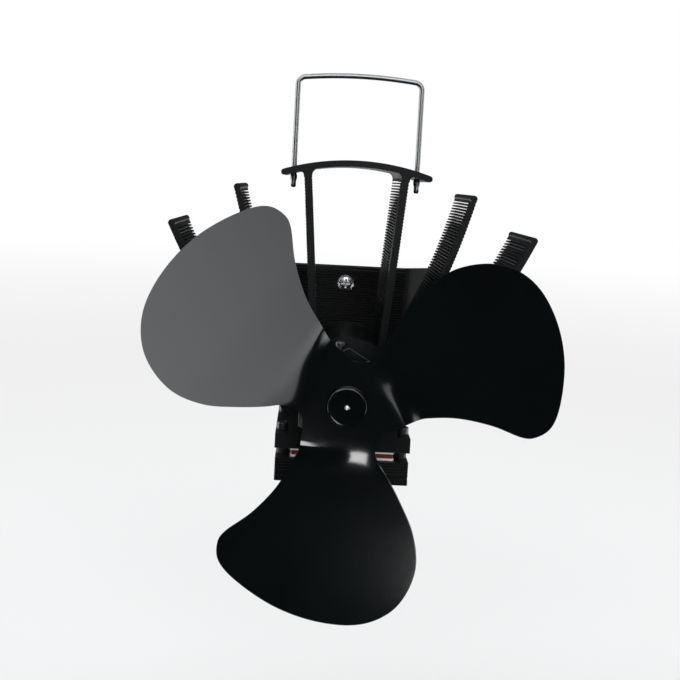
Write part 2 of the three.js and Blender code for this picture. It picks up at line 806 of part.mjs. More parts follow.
function makeSeal() {
  const bottom = moduleBottom + ceramicThickness;
  const top = moduleTop - ceramicThickness;
  const inside = moduleSlab(sealInset + sealWidth, bottom - cutOverrun, top + cutOverrun);
  return cut(moduleSlab(sealInset, bottom, top), inside);
}

// The pellets stand in rows, and metal links join them in one chain, above and below in turn
function makePellets() {
  const room = moduleWidth - 2 * (sealInset + sealWidth + pelletWidth);
  const step = room / (pelletsPerSide - 1);
  const half = pelletWidth / 2;
  const bottom = moduleBottom + ceramicThickness;
  const top = moduleTop - ceramicThickness;
  const middle = (moduleFront + moduleBack) / 2;
  const places = [];
  for (let i = 0; i < pelletsPerSide; i++) {
    for (let j = 0; j < pelletsPerSide; j++) {
      const along = i % 2 === 0 ? j : pelletsPerSide - 1 - j;
      places.push([i * step - room / 2, middle + along * step - room / 2]);
    }
  }
  const pieces = places.map(([x, y]) => boxBetween(x - half, x + half, y - half, y + half, bottom, top));
  places.slice(1).forEach(([x, y], i) => {
    const [x0, y0] = places[i];
    const [low, high] = i % 2 === 0 ? [bottom, bottom + linkThickness] : [top - linkThickness, top];
    const [left, right] = [Math.min(x, x0) - half, Math.max(x, x0) + half];
    pieces.push(boxBetween(left, right, Math.min(y, y0) - half, Math.max(y, y0) + half, low, high));
  });
  return join(...pieces);
}

// Motor housing and its set screw

function makeMotorHousing() {
  const head = turnedY([
    [0, noseFront], [hexCornerRadius - noseChamfer, noseFront], [hexCornerRadius, noseFront + noseChamfer],
    [hexCornerRadius, sinkFront], [0, sinkFront],
  ], 6);
  const screwBottom = motorRadius / 2;
  const screwHole = rodZ(setScrewRadius + slipGap, screwBottom, hexCornerRadius + cutOverrun);
  return cut(
    join(head, rodY(spigotRadius, sinkFront - noseReach / 2, sinkFront + spigotLength)),
    rodY(motorRadius, canFront, sinkFront + spigotLength + cutOverrun),
    rodY(canNoseRadius + slipGap, noseFront - cutOverrun, canFront + cutOverrun),
    screwHole.translate(setScrewX, noseFront + setScrewSetback, 0),
  );
}

// Height of the housing's left upper face over the set screw's outer rim
function setScrewSeat() {
  const lean = Math.tan(Math.PI / 6);
  return hexCornerRadius - (Math.abs(setScrewX) - setScrewHeadRadius) * lean;
}

function makeSetScrew() {
  const seat = setScrewSeat() + seatGap;
  const end = Math.sqrt(canRadius ** 2 - (Math.abs(setScrewX) - setScrewRadius) ** 2) + seatGap;
  const top = seat + setScrewHeadHeight;
  return turnedZ([
    [0, end], [setScrewRadius, end], [setScrewRadius, seat], [setScrewHeadRadius, seat],
    ...domePoints(setScrewHeadRadius, seat + setScrewHeadRim, top, 3).reverse(),
  ]);
}

// Motor

function makeMotorCan() {
  const inner = canRadius - canWall;
  const bore = bearingRadius + slipGap;
  const nose = canFront - canNoseHeight;
  return turnedY([
    [bore, nose], [canNoseRadius, nose], [canNoseRadius, canFront], [canRadius, canFront],
    [canRadius, canBack], [inner, canBack], [inner, canFront + canWall], [bore, canFront + canWall],
    [bore, nose],
  ]);
}

function makeBearing(front) {
  const bore = (shaftRadius + runningGap) / Math.cos(Math.PI / smallSides);
  return turnedY(ringProfile(bore, bearingRadius, front, front + bearingLength), smallSides);
}

function makeEndCap() {
  const cap = turnedY(ringProfile(bearingRadius + slipGap, canRadius, canBack, motorBack), roundSides / 2);
  const slots = terminalPlaces().map((x) => {
    const half = terminalWidth / 2 + slipGap;
    const thin = terminalThickness / 2 + slipGap;
    return boxBetween(x - half, x + half, canBack - cutOverrun, motorBack + cutOverrun, -thin, thin);
  });
  return cut(cap, ...slots);
}

function terminalPlaces() {
  return [-terminalSpacing / 2, terminalSpacing / 2];
}

function makeTerminal() {
  const half = terminalWidth / 2;
  const thin = terminalThickness / 2;
  return boxBetween(-half, half, canBack, motorBack + terminalLength, -thin, thin);
}

function fieldMagnetRadii() {
  const outer = canRadius - canWall - slipGap;
  return { outer, inner: outer - fieldMagnetThickness };
}

function makeFieldMagnet(middle) {
  const { outer, inner } = fieldMagnetRadii();
  const front = canFront + canWall + slipGap;
  const reach = THREE.MathUtils.degToRad(fieldMagnetDegrees) / 2;
  const shape = new THREE.Shape();
  shape.absarc(0, 0, outer, middle - reach, middle + reach);
  shape.absarc(0, 0, inner, middle + reach, middle - reach, true);
  return prismY(shape, front, front + fieldMagnetLength);
}

function rotorRadius() {
  return fieldMagnetRadii().inner - airGap;
}

function armatureFront() {
  return canFront + canWall + slipGap + (fieldMagnetLength - armatureLength) / 2;
}

function makeArmature() {
  const front = armatureFront();
  const back = front + armatureLength;
  const outer = rotorRadius();
  const hubRadius = coreRadius;
  const pieces = [rodY(hubRadius, front, back, smallSides)];
  for (let i = 0; i < poleCount; i++) {
    const turn = (i * 2 * Math.PI) / poleCount;
    const spread = (Math.PI / poleCount) * poleSpanShare;
    const tip = new THREE.Shape();
    tip.absarc(0, 0, outer, Math.PI / 2 - spread, Math.PI / 2 + spread);
    tip.absarc(0, 0, outer - poleTipThickness, Math.PI / 2 + spread, Math.PI / 2 - spread, true);
    const stem = boxBetween(-poleWidth / 2, poleWidth / 2, front, back, hubRadius / 2, outer - poleTipThickness / 2);
    pieces.push(prismY(tip, front, back).rotateY(turn), stem.rotateY(turn));
  }
  return cut(join(...pieces), rodY(shaftRadius + slipGap, front - cutOverrun, back + cutOverrun, smallSides));
}

function commutatorFront() {
  return armatureFront() + armatureLength + slipGap;
}

function makeCommutator() {
  const front = commutatorFront();
  const profile = ringProfile(shaftRadius + slipGap, commutatorRadius, front, front + commutatorLength);
  return turnedY(profile, smallSides);
}

function makeBrush(sign) {
  const front = commutatorFront() + (commutatorLength - brushWidth) / 2;
  const half = brushWidth / 2;
  const near = commutatorRadius + runningGap;
  const left = sign > 0 ? near : -near - brushLength;
  return boxBetween(left, left + brushLength, front, front + brushWidth, -half, half);
}

function makeShaft() {
  const back = motorBack;
  const front = bladePlane - sheetThickness / 2 - bossThickness - shaftReach;
  return turnedY([
    ...domePoints(shaftRadius, front + shaftDome, front, 3), [shaftRadius, back], [0, back],
  ], smallSides);
}

// Hub boss: a disc in front of the sheet, a spigot through it and a collar behind it
function makeHubBoss() {
  const front = bladePlane - sheetThickness / 2;
  const back = bladePlane + sheetThickness / 2;
  const disc = front - bossThickness;
  const bore = shaftRadius + runningGap / 2;
  return turnedY([
    [bore, disc], [bossRadius - bossChamfer, disc], [bossRadius, disc + bossChamfer], [bossRadius, front],
    [spigotBossRadius, front], [spigotBossRadius, back], [collarRadius, back],
    [collarRadius, back + collarLength], [bore, back + collarLength], [bore, disc],
  ], roundSides);
}

// Fan sheet

// The blade's edge in its own frame: x along the blade's axis, y across it
function bladeEdge() {
  const points = bladeEdgeShares.map(([degrees, share]) => {
    const angle = THREE.MathUtils.degToRad(degrees);
    const radius = share * bladeRadius;
    return new THREE.Vector3(radius * Math.cos(angle), radius * Math.sin(angle), 0);
  });
  const samples = new THREE.CatmullRomCurve3(points, false, 'centripetal').getPoints(600);
  const tip = samples.reduce((best, point, i) => (point.x > samples[best].x ? i : best), 0);
  return { trailing: samples.slice(0, tip + 1), leading: samples.slice(tip).reverse() };
}

function acrossAt(side, reach) {
  const next = side.findIndex((point) => point.x >= reach);
  if (next <= 0) return side[next === 0 ? 0 : side.length - 1].y;
  const [a, b] = [side[next - 1], side[next]];
  return THREE.MathUtils.mapLinear(reach, a.x, b.x, a.y, b.y);
}

// How far the sheet's middle stands from the hub's plane: the blades twist out of it
function bladeHeight(reach, across) {
  const ramp = THREE.MathUtils.smoothstep(reach, bladeBendStart, bladeBendEnd);
  const hollow = bladeHollow * (1 - (2 * across / bladeRadius) ** 2);
  return ramp * (hollow - bladePitchShare * across);
}

// A point of the sheet's middle and its direction to the front, turned to the blade's place
function bladePoint(reach, across, turn) {
  const step = sheetThickness / 100;
  const slopeReach = (bladeHeight(reach + step, across) - bladeHeight(reach - step, across)) / (2 * step);
  const slopeAcross = (bladeHeight(reach, across + step) - bladeHeight(reach, across - step)) / (2 * step);
  const axis = new THREE.Vector3(0, 1, 0);
  const point = new THREE.Vector3(reach, bladePlane + bladeHeight(reach, across), across);
  const normal = new THREE.Vector3(slopeReach, -1, slopeAcross).normalize();
  return { point: point.applyAxisAngle(axis, -turn), normal: normal.applyAxisAngle(axis, -turn) };
}

function makeFanSheet() {
  const stations = 16;
  const columns = 6;
  const { trailing, leading } = bladeEdge();
  const rootReach = trailing[0].x;
  const tipReach = trailing[trailing.length - 1].x;
  const middles = [];
  const triangles = [];
  const add = (entry) => middles.push(entry) - 1;
  const rim = [];

  for (let blade = 0; blade < bladeCount; blade++) {
    const turn = THREE.MathUtils.degToRad(bladeAxisDegrees) + (blade * 2 * Math.PI) / bladeCount;
    const rows = [];
    for (let i = 0; i < stations; i++) {
      const reach = rootReach + (tipReach - rootReach) * Math.sin((Math.PI / 2) * (i / stations));
      const low = acrossAt(trailing, reach);
      const high = acrossAt(leading, reach);
      const row = [];
      for (let j = 0; j <= columns; j++) {
        row.push(add(bladePoint(reach, THREE.MathUtils.lerp(low, high, j / columns), turn)));
      }
      rows.push(row);
    }
    for (let i = 0; i + 1 < stations; i++) {
      for (let j = 0; j < columns; j++) {
        const [a, b, c, d] = [rows[i][j], rows[i + 1][j], rows[i + 1][j + 1], rows[i][j + 1]];
        triangles.push([a, b, c], [a, c, d]);
      }
    }
    const tip = add(bladePoint(tipReach, trailing[trailing.length - 1].y, turn));
    const last = rows[stations - 1];
    for (let j = 0; j < columns; j++) triangles.push([last[j], tip, last[j + 1]]);
    rim.push(...rows[0].slice(0, -1));
    rim.last = rows[0][columns];
    if (blade > 0) rim.pairs.push([rim.previousEnd, rows[0][0]]);
    else Object.assign(rim, { pairs: [], first: rows[0][0] });
    rim.previousEnd = rows[0][columns];
  }
  rim.pairs.push([rim.previousEnd, rim.first]);

  // The hub between the three roots, with a round hole for the boss's spigot
  const holeRadius = spigotBossRadius + slipGap;
  const hole = [];
  for (let i = 0; i < roundSides / 2; i++) {
    const angle = (i * 4 * Math.PI) / roundSides;
    const point = new THREE.Vector3(holeRadius * Math.cos(angle), bladePlane, holeRadius * Math.sin(angle));
    hole.push(add({ point, normal: new THREE.Vector3(0, -1, 0) }));
  }
  const flat = (index) => new THREE.Vector2(middles[index].point.x, middles[index].point.z);
  const ring = [...rim, ...hole];
  const faces = THREE.ShapeUtils.triangulateShape(rim.map(flat), [hole.map(flat)]);
  faces.forEach((face) => triangles.push(face.map((i) => ring[i])));
  return thickSheet(middles, triangles);
}

// Gives a surface its thickness: a front and a back skin, joined along every open edge
function thickSheet(middles, triangles) {
  const position = [];
  const order = new Map();
  const name = ({ x, y, z }) => [x, y, z].map((value) => Math.round(value * 1e4)).join(' ');
  const skin = middles.map(({ point, normal }) => {
    const key = name(point);
    if (!order.has(key)) {
      order.set(key, order.size);
      position.push(point.clone().addScaledVector(normal, sheetThickness / 2));
      position.push(point.clone().addScaledVector(normal, -sheetThickness / 2));
    }
    return order.get(key);
  });
  const faces = triangles.map((face) => face.map((i) => skin[i]));
  const open = new Map();
  const index = [];
  for (const [a, b, c] of faces) {
    index.push(2 * a, 2 * b, 2 * c, 2 * a + 1, 2 * c + 1, 2 * b + 1);
    for (const [from, to] of [[a, b], [b, c], [c, a]]) {
      if (!open.delete(`${to} ${from}`)) open.set(`${from} ${to}`, [from, to]);
    }
  }
  for (const [from, to] of open.values()) {
    index.push(2 * from, 2 * from + 1, 2 * to + 1, 2 * from, 2 * to + 1, 2 * to);
  }
  const geometry = new THREE.BufferGeometry().setFromPoints(position);
  geometry.setIndex(index);
  return geometry;
}

// Wire bail, with a flattened crimp under the top plate on each leg

function bailPath() {
  const bottom = bailPlateBottom - bailStub;
  const cornerZ = bailTop - bailCornerRadius;
  const right = [];
  right.push([bailHalfWidth, bottom], [bailHalfWidth, cornerZ]);
  for (let i = 1; i <= 4; i++) {
    const angle = (i / 4) * (Math.PI / 2);
    right.push([
      bailHalfWidth - bailCornerRadius * (1 - Math.cos(angle)), cornerZ + bailCornerRadius * Math.sin(angle),
    ]);
  }
  const topX = bailHalfWidth - bailCornerRadius;
  for (let i = 1; i <= 5; i++) {
    const x = topX * (1 - i / 5);
    right.push([x, bailTop + bailBow * (1 - (x / topX) ** 2)]);
  }
  const left = right.slice(0, -1).map(([x, z]) => [-x, z]).reverse();
  return [...right, ...left].map(([x, z]) => new THREE.Vector3(x, bailY, z));
}

function makeBail() {
  const wire = wireAlong(bailPath(), wireRadius);
  const crimpZ = bailPlateBottom - crimpDrop - crimpHeight / 2;
  const crimps = [1, -1].map((sign) => {
    const outer = domePoints(crimpHalfWidth, 0, crimpHeight / 2, 3);
    const lower = outer.slice(0, -1).map(([r, z]) => [r, -z]);
    const crimp = turnedZ([...lower, ...outer.reverse()], wireSides);
    return crimp.translate(sign * bailHalfWidth, bailY, crimpZ);
  });
  return join(wire, ...crimps);
}

// Module leads: back through the gap under the foot, up behind the heat sink, to the motor

function leadPoints(sign) {
  const x = (sign * leadSpacing) / 2;
  const gapLevel = (moduleTop + moduleBottom) / 2;
  const riseY = sinkBack + leadRise;
  const end = motorBack + terminalLength + seatGap;
  const terminalX = (sign * terminalSpacing) / 2;
  const turn = leadBend;
  const inset = turn * (1 - Math.SQRT1_2);
  return [
    [x, moduleBack + seatGap, gapLevel],
    [x, THREE.MathUtils.lerp(moduleBack, riseY, 0.5), gapLevel],
    [x, riseY - turn, gapLevel],
    [x, riseY - inset, gapLevel + inset],
    [x, riseY, gapLevel + turn],
    [x, riseY, -turn - inset],
    [x, riseY - inset, -inset],
    [x, riseY - turn, 0],
    [THREE.MathUtils.lerp(x, terminalX, 0.5), THREE.MathUtils.lerp(end, riseY, 0.5), 0],
    [terminalX, end + turn, 0],
    [terminalX, end, 0],
  ].map(([px, py, pz]) => new THREE.Vector3(px, py, pz));
}

function makeLead(sign) {
  const line = new THREE.CatmullRomCurve3(leadPoints(sign), false, 'centripetal');
  return wireAlong(line.getPoints(20), leadRadius);
}

// The assembly

addPiece('heat_sink', makeHeatSink(), anodised);
addPiece('hot_bracket', makeHotBracket(), anodised);
addPiece('saddle_plate', makeSaddlePlate(), anodised);
addPiece('bracket_screw_upper', makePanScrew(), zinc).position.z = panScrewUpper;
addPiece('bracket_screw_lower', makePanScrew(), zinc).position.z = panScrewLower;

for (const [side, sign] of [['right', 1], ['left', -1]]) {
  const wingGroup = new THREE.Group();
  wingGroup.position.y = pipeRadius;
  wingGroup.rotation.z = sign * wing;
  fan.add(wingGroup);
  for (const [level, z] of Object.entries(magnetLevels())) {
    addPiece(`saddle_magnet_${level}_${side}`, makeSaddleMagnet(), nickel, wingGroup).position.z = z;
    addPiece(`magnet_screw_${level}_${side}`, makeMagnetScrew(), zinc, wingGroup).position.z = z;
  }
}

addPiece('lower_graphite_sheet', moduleSlab(0, shelfTop, moduleBottom), graphite);
addPiece('module_hot_plate', moduleSlab(0, moduleBottom, moduleBottom + ceramicThickness), whiteCeramic);
addPiece('module_cold_plate', moduleSlab(0, moduleTop - ceramicThickness, moduleTop), whiteCeramic);
addPiece('upper_graphite_sheet', moduleSlab(0, moduleTop, footBottom), graphite);
addPiece('module_seal', makeSeal(), redSilicone);
addPiece('module_pellets', makePellets(), graphite);

clampPlaces().forEach(([x, y], i) => {
  const place = ['front_left', 'front_right', 'rear_left', 'rear_right'][i];
  addPiece(`clamp_bush_${place}`, makeClampBush(), blackPlastic).position.set(x, y, 0);
  addPiece(`clamp_screw_${place}`, makeClampScrew(), satinBlack).position.set(x, y, 0);
});

addPiece('motor_housing', makeMotorHousing(), anodised);
addPiece('motor_set_screw', makeSetScrew(), satinBlack).position.set(setScrewX, noseFront + setScrewSetback, 0);
addPiece('motor_can', makeMotorCan(), zinc);
addPiece('motor_end_cap', makeEndCap(), blackPlastic);
addPiece('front_bearing', makeBearing(canFront - canNoseHeight), bronze);
addPiece('rear_bearing', makeBearing(motorBack - bearingLength), bronze);
addPiece('field_magnet_upper', makeFieldMagnet(Math.PI / 2), ferrite);
addPiece('field_magnet_lower', makeFieldMagnet(-Math.PI / 2), ferrite);
for (const [side, sign] of [['right', 1], ['left', -1]]) {
  addPiece(`motor_brush_${side}`, makeBrush(sign), graphite);
  addPiece(`motor_terminal_${side}`, makeTerminal(), bronze).position.x = sign * terminalSpacing / 2;
}
addPiece('lead_red', makeLead(1), redSilicone);
addPiece('lead_black', makeLead(-1), blackPlastic);

addPiece('motor_shaft', makeShaft(), steel);
addPiece('armature', makeArmature(), copper);
addPiece('commutator', makeCommutator(), copper);
addPiece('hub_boss', makeHubBoss(), satinBlack);
addPiece('fan_blades', makeFanSheet(), satinBlack);

addPiece('bail_handle', makeBail(), steel);

export default fan;
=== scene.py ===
"""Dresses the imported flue-pipe fan: camera, studio, materials and the detailed pieces."""

import json
import math

import bmesh
import bpy
from mathutils import Matrix, Vector
from mathutils.geometry import tessellate_polygon


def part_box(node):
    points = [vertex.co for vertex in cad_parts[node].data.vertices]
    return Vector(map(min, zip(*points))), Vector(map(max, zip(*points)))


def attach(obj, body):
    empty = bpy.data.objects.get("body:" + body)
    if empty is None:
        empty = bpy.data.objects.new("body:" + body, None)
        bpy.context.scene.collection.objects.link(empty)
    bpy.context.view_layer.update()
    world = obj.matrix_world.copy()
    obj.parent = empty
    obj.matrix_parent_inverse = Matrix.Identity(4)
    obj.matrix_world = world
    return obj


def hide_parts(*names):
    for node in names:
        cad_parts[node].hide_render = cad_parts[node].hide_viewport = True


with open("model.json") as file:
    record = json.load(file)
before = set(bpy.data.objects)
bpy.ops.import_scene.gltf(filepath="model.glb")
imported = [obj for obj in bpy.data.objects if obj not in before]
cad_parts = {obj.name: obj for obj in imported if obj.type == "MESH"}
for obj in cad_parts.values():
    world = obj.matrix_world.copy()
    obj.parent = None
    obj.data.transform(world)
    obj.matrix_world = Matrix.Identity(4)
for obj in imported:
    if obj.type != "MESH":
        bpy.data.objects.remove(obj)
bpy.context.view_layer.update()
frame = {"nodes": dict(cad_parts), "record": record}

MM = 0.001
TAU = 2 * math.pi

# Places read from the CAD, in metres
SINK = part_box("heat_sink")
SINK_FRONT, SINK_BACK = SINK[0].y, SINK[1].y
FOOT_BOTTOM = SINK[0].z
PLATE_RADIUS = SINK[1].z
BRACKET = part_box("hot_bracket")
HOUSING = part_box("motor_housing")
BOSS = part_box("hub_boss")
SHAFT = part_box("motor_shaft")
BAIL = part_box("bail_handle")

# Camera: turn is yaw, pitch and roll in degrees
IMAGE = 680
FOCAL_PX = 1012
SENSOR = 36.0
CAMERA_PLACE = Vector((-16.2, -449.0, 81.5)) * MM
CAMERA_TURN = (1.75, 5.0, 3.04)
CAMERA_SHIFT = -0.1049
CLIP_START = 10 * MM


def make_camera():
    data = bpy.data.cameras.new("camera")
    data.sensor_width = SENSOR
    data.lens = FOCAL_PX / IMAGE * SENSOR
    data.shift_y = CAMERA_SHIFT
    data.clip_start = CLIP_START
    camera = bpy.data.objects.new("camera", data)
    yaw, pitch, roll = (math.radians(a) for a in CAMERA_TURN)
    level = math.cos(pitch)
    forward = Vector((math.sin(yaw) * level, math.cos(yaw) * level, -math.sin(pitch)))
    right = Vector((math.cos(yaw), -math.sin(yaw), 0))
    up = right.cross(forward)
    tilted_right = math.cos(roll) * right + math.sin(roll) * up
    tilted_up = tilted_right.cross(forward)
    turn = Matrix((tilted_right, tilted_up, -forward)).transposed()
    camera.matrix_world = Matrix.Translation(CAMERA_PLACE) @ turn.to_4x4()
    bpy.context.scene.collection.objects.link(camera)
    bpy.context.scene.camera = camera


# Mesh helpers. Angles are in degrees
MERGE = 1e-7  # metres
NORMAL_WEIGHT = 80
BEVEL_ANGLE = 35
FUSE_ANGLE = 62
DOME = (75, 50, 25)  # the rings of a wire's domed end
DOME_SHARE = 0.6  # of the radius that a domed end stands out


def evaluated_mesh(obj):
    """The object's mesh with its modifiers applied."""
    bpy.context.view_layer.update()
    return bpy.data.meshes.new_from_object(obj.evaluated_get(bpy.context.evaluated_depsgraph_get()))


def apply_modifiers(obj):
    mesh = evaluated_mesh(obj)
    obj.modifiers.clear()
    obj.data = mesh


def add_bevel(obj, width, segments, angle):
    bevel = obj.modifiers.new("edges", "BEVEL")
    bevel.width, bevel.segments = width, segments
    bevel.limit_method, bevel.angle_limit = "ANGLE", math.radians(angle)


def shade(obj, smooth_angle):
    """Smooth shading that keeps flat faces flat, with creases sharper than the angle kept."""
    for polygon in obj.data.polygons:
        polygon.use_smooth = True
    obj.data.set_sharp_from_angle(angle=math.radians(smooth_angle))
    normals = obj.modifiers.new("normals", "WEIGHTED_NORMAL")
    normals.keep_sharp = True
    normals.weight = NORMAL_WEIGHT
    apply_modifiers(obj)
    return obj


def linked_object(name, mesh):
    obj = bpy.data.objects.new(name, mesh)
    bpy.context.scene.collection.objects.link(obj)
    return obj


def new_object(name, verts, faces, look, smooth_angle=30, bevel=0.0, bevel_segments=2):
    mesh = bpy.data.meshes.new(name)
    mesh.from_pydata([tuple(v) for v in verts], [], faces)
    bm = bmesh.new()
    bm.from_mesh(mesh)
    bmesh.ops.remove_doubles(bm, verts=bm.verts, dist=MERGE)
    bmesh.ops.recalc_face_normals(bm, faces=bm.faces)
    bm.to_mesh(mesh)
    bm.free()
    obj = linked_object(name, mesh)
    mesh.materials.append(look)
    if bevel:
        add_bevel(obj, bevel, bevel_segments, BEVEL_ANGLE)
        apply_modifiers(obj)
    return shade(obj, smooth_angle)


class Parts:
    """Collects the faces of several closed forms for one object."""

    def __init__(self):
        self.verts, self.faces = [], []

    def add(self, verts, faces):
        start = len(self.verts)
        self.verts += [Vector(v) for v in verts]
        self.faces += [[start + i for i in face] for face in faces]
        return self

    def prism(self, outer, low, high, place, holes=()):
        """An outline of 2D points, with holes, drawn out from low to high; place maps (a, b, t)."""
        loops = [list(outer)] + [list(h) for h in holes]
        flat = [p for loop in loops for p in loop]
        count = len(flat)
        verts = [place(a, b, low) for a, b in flat] + [place(a, b, high) for a, b in flat]
        faces = []
        for tri in tessellate_polygon([[Vector((a, b, 0)) for a, b in loop] for loop in loops]):
            faces += [list(tri), [i + count for i in reversed(tri)]]
        start = 0
        for loop in loops:
            n = len(loop)
            for i in range(n):
                a, b = start + i, start + (i + 1) % n
                faces.append([a, b, b + count, a + count])
            start += n
        return self.add(verts, faces)

    def lathe(self, profile, place, sides):
        """A closed profile of (radius, level) pairs, turned; place maps (across, up, level)."""
        rings, verts, faces = [], [], []
        for r, y in profile:
            if r < MERGE:
                rings.append([len(verts)] * sides)
                verts.append(place(0, 0, y))
            else:
                rings.append(list(range(len(verts), len(verts) + sides)))
                verts += [place(r * math.cos(TAU * i / sides), r * math.sin(TAU * i / sides), y)
                          for i in range(sides)]
        for first, second in zip(rings, rings[1:]):
            for i in range(sides):
                j = (i + 1) % sides
                face = []
                for v in (first[i], first[j], second[j], second[i]):
                    if v not in face:
                        face.append(v)
                if len(face) > 2:
                    faces.append(face)
        return self.add(verts, faces)

    def tube(self, points, radius, sides, flat=None):
        """A round wire with domed ends; flat(i) is the (wide, thin) shares of its radius at point i."""
        points = [Vector(p) for p in points]
        tangents = [(points[min(i + 1, len(points) - 1)] - points[max(i - 1, 0)]).normalized()
                    for i in range(len(points))]
        normal = Vector((0, 1, 0)) if abs(tangents[0].y) < 0.9 else Vector((1, 0, 0))
        verts, rings = [], []

        def ring(centre, tangent, normal, wide, thin):
            side = tangent.cross(normal).normalized()
            rings.append(range(len(verts), len(verts) + sides))
            for k in range(sides):
                a = TAU * k / sides
                verts.append(centre + side * math.cos(a) * wide + normal * math.sin(a) * thin)

        def dome(centre, tangent, normal, wide, thin, angles, way):
            for degrees in angles:
                c, s = math.cos(math.radians(degrees)), math.sin(math.radians(degrees))
                tip = centre + tangent * (way * min(wide, thin) * s * DOME_SHARE)
                ring(tip, tangent, normal, wide * c, thin * c)

        for i, (p, t) in enumerate(zip(points, tangents)):
            normal = (normal - t * normal.dot(t)).normalized()
            wide, thin = (radius * s for s in (flat(i) if flat else (1, 1)))
            if i == 0:
                dome(p, t, normal, wide, thin, DOME, -1)
            ring(p, t, normal, wide, thin)
            if i == len(points) - 1:
                dome(p, t, normal, wide, thin, reversed(DOME), 1)
        faces = [list(rings[0]), list(reversed(rings[-1]))]
        for first, second in zip(rings, rings[1:]):
            for k in range(sides):
                m = (k + 1) % sides
                faces.append([first[k], first[m], second[m], second[k]])
        return self.add(verts, faces)

    def object(self, name, look, **options):
        return new_object(name, self.verts, self.faces, look, **options)


def along_y(x, z, y):
    return Vector((x, y, z))


def along_x(y, z, x):
    return Vector((x, y, z))


def in_metres(points):
    return [(a * MM, b * MM) for a, b in points]


def arc(cx, cz, radius, start, end, steps):
    """Points of a circle's arc from start to end, in degrees."""
    angles = [math.radians(start + (end - start) * i / steps) for i in range(steps + 1)]
    return [(cx + radius * math.cos(a), cz + radius * math.sin(a)) for a in angles]


def circle(cx, cz, radius, sides):
    return arc(cx, cz, radius, 0, 360 * (sides - 1) / sides, sides - 1)


def bezier(a, b, c, share):
    keep = 1 - share
    return Vector(a) * keep * keep + Vector(b) * 2 * keep * share + Vector(c) * share * share


def smoothstep(x, low, high):
    t = min(max((x - low) / (high - low), 0), 1)
    return t * t * (3 - 2 * t)


def catmull(points, per_span):
    """A centripetal Catmull-Rom curve through points."""
    pts = [2 * points[0] - points[1], *points, 2 * points[-1] - points[-2]]
    out = []
    for i in range(1, len(pts) - 2):
        p0, p1, p2, p3 = pts[i - 1:i + 3]
        t0 = 0.0
        t1 = t0 + math.sqrt((p1 - p0).length)
        t2 = t1 + math.sqrt((p2 - p1).length)
        t3 = t2 + math.sqrt((p3 - p2).length)
        for k in range(per_span):
            t = t1 + (t2 - t1) * k / per_span
            a1 = p0 * ((t1 - t) / (t1 - t0)) + p1 * ((t - t0) / (t1 - t0))
            a2 = p1 * ((t2 - t) / (t2 - t1)) + p2 * ((t - t1) / (t2 - t1))
            a3 = p2 * ((t3 - t) / (t3 - t2)) + p3 * ((t - t2) / (t3 - t2))
            b1 = a1 * ((t2 - t) / (t2 - t0)) + a2 * ((t - t0) / (t2 - t0))
            b2 = a2 * ((t3 - t) / (t3 - t1)) + a3 * ((t - t1) / (t3 - t1))
            out.append(b1 * ((t2 - t) / (t2 - t1)) + b2 * ((t - t1) / (t2 - t1)))
    out.append(points[-1])
    return out


def fuse(name, solids, look, bevel, smooth_angle, loose):
    """One skin round overlapping solids, with rounded edges, and loose closed forms added after."""
    group = bpy.data.collections.new(name + "_parts")
    bpy.context.scene.collection.children.link(group)
    objects = [solid.object(f"{name}_{i}", look) for i, solid in enumerate(solids)]
    for obj in objects[1:]:
        bpy.context.scene.collection.objects.unlink(obj)
        group.objects.link(obj)
    base = objects[0]
    join = base.modifiers.new("join", "BOOLEAN")
    join.operation, join.operand_type, join.solver = "UNION", "COLLECTION", "EXACT"
    join.collection = group
    add_bevel(base, bevel, 2, FUSE_ANGLE)
    skin = evaluated_mesh(base)
    for obj in objects:
        bpy.data.objects.remove(obj)
    bpy.data.collections.remove(group)
    bm = bmesh.new()
    bm.from_mesh(skin)
    start = len(bm.verts)
    for v in loose.verts:
        bm.verts.new(v)
    bm.verts.ensure_lookup_table()
    added = [bm.faces.new([bm.verts[start + i] for i in face]) for face in loose.faces]
    bmesh.ops.recalc_face_normals(bm, faces=added)
    bm.to_mesh(skin)
    bm.free()
    return shade(linked_object(name, skin), smooth_angle)


def dress(obj, node, body):
    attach(obj, body)
    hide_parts(node)
    return obj


class Graph:
    """Adds linked nodes to a node tree."""

    def __init__(self, tree):
        self.nodes, self.links = tree.nodes, tree.links

    def feed(self, node, key, value):
        """Sets an input to a value, or links it to a socket."""
        if isinstance(value, bpy.types.NodeSocket):
            self.links.new(value, node.inputs[key])
        else:
            node.inputs[key].default_value = value

    def add(self, kind, inputs=(), **settings):
        node = self.nodes.new("ShaderNode" + kind)
        for key, value in settings.items():
            setattr(node, key, value)
        for key, value in dict(inputs).items():
            self.feed(node, key, value)
        return node

    def math(self, operation, *values):
        return self.add("Math", dict(enumerate(values)), operation=operation).outputs[0]

    def fade(self, value, low, high, to_low=0.0, to_high=1.0):
        """A smooth step from to_low to to_high while the value goes from low to high."""
        inputs = {"Value": value, "From Min": low, "From Max": high,
                  "To Min": to_low, "To Max": to_high}
        return self.add("MapRange", inputs, interpolation_type="SMOOTHSTEP").outputs[0]

    def facing(self, where, normal, edge, soft):
        """One for directions over edge degrees above the plane of a normal, fading over soft."""
        inputs = {0: where, 1: Vector(normal).normalized()}
        dot = self.add("VectorMath", inputs, operation="DOT_PRODUCT").outputs["Value"]
        return self.fade(dot, *(math.sin(math.radians(a)) for a in (edge - soft, edge + soft)))

    def mix(self, share, first, second):
        return self.add("MixShader", {"Fac": share, 1: first, 2: second}).outputs[0]

    def seen(self, path):
        """One for a ray of the camera or through glass."""
        return self.math("ADD", path["Is Camera Ray"], path["Is Transmission Ray"])


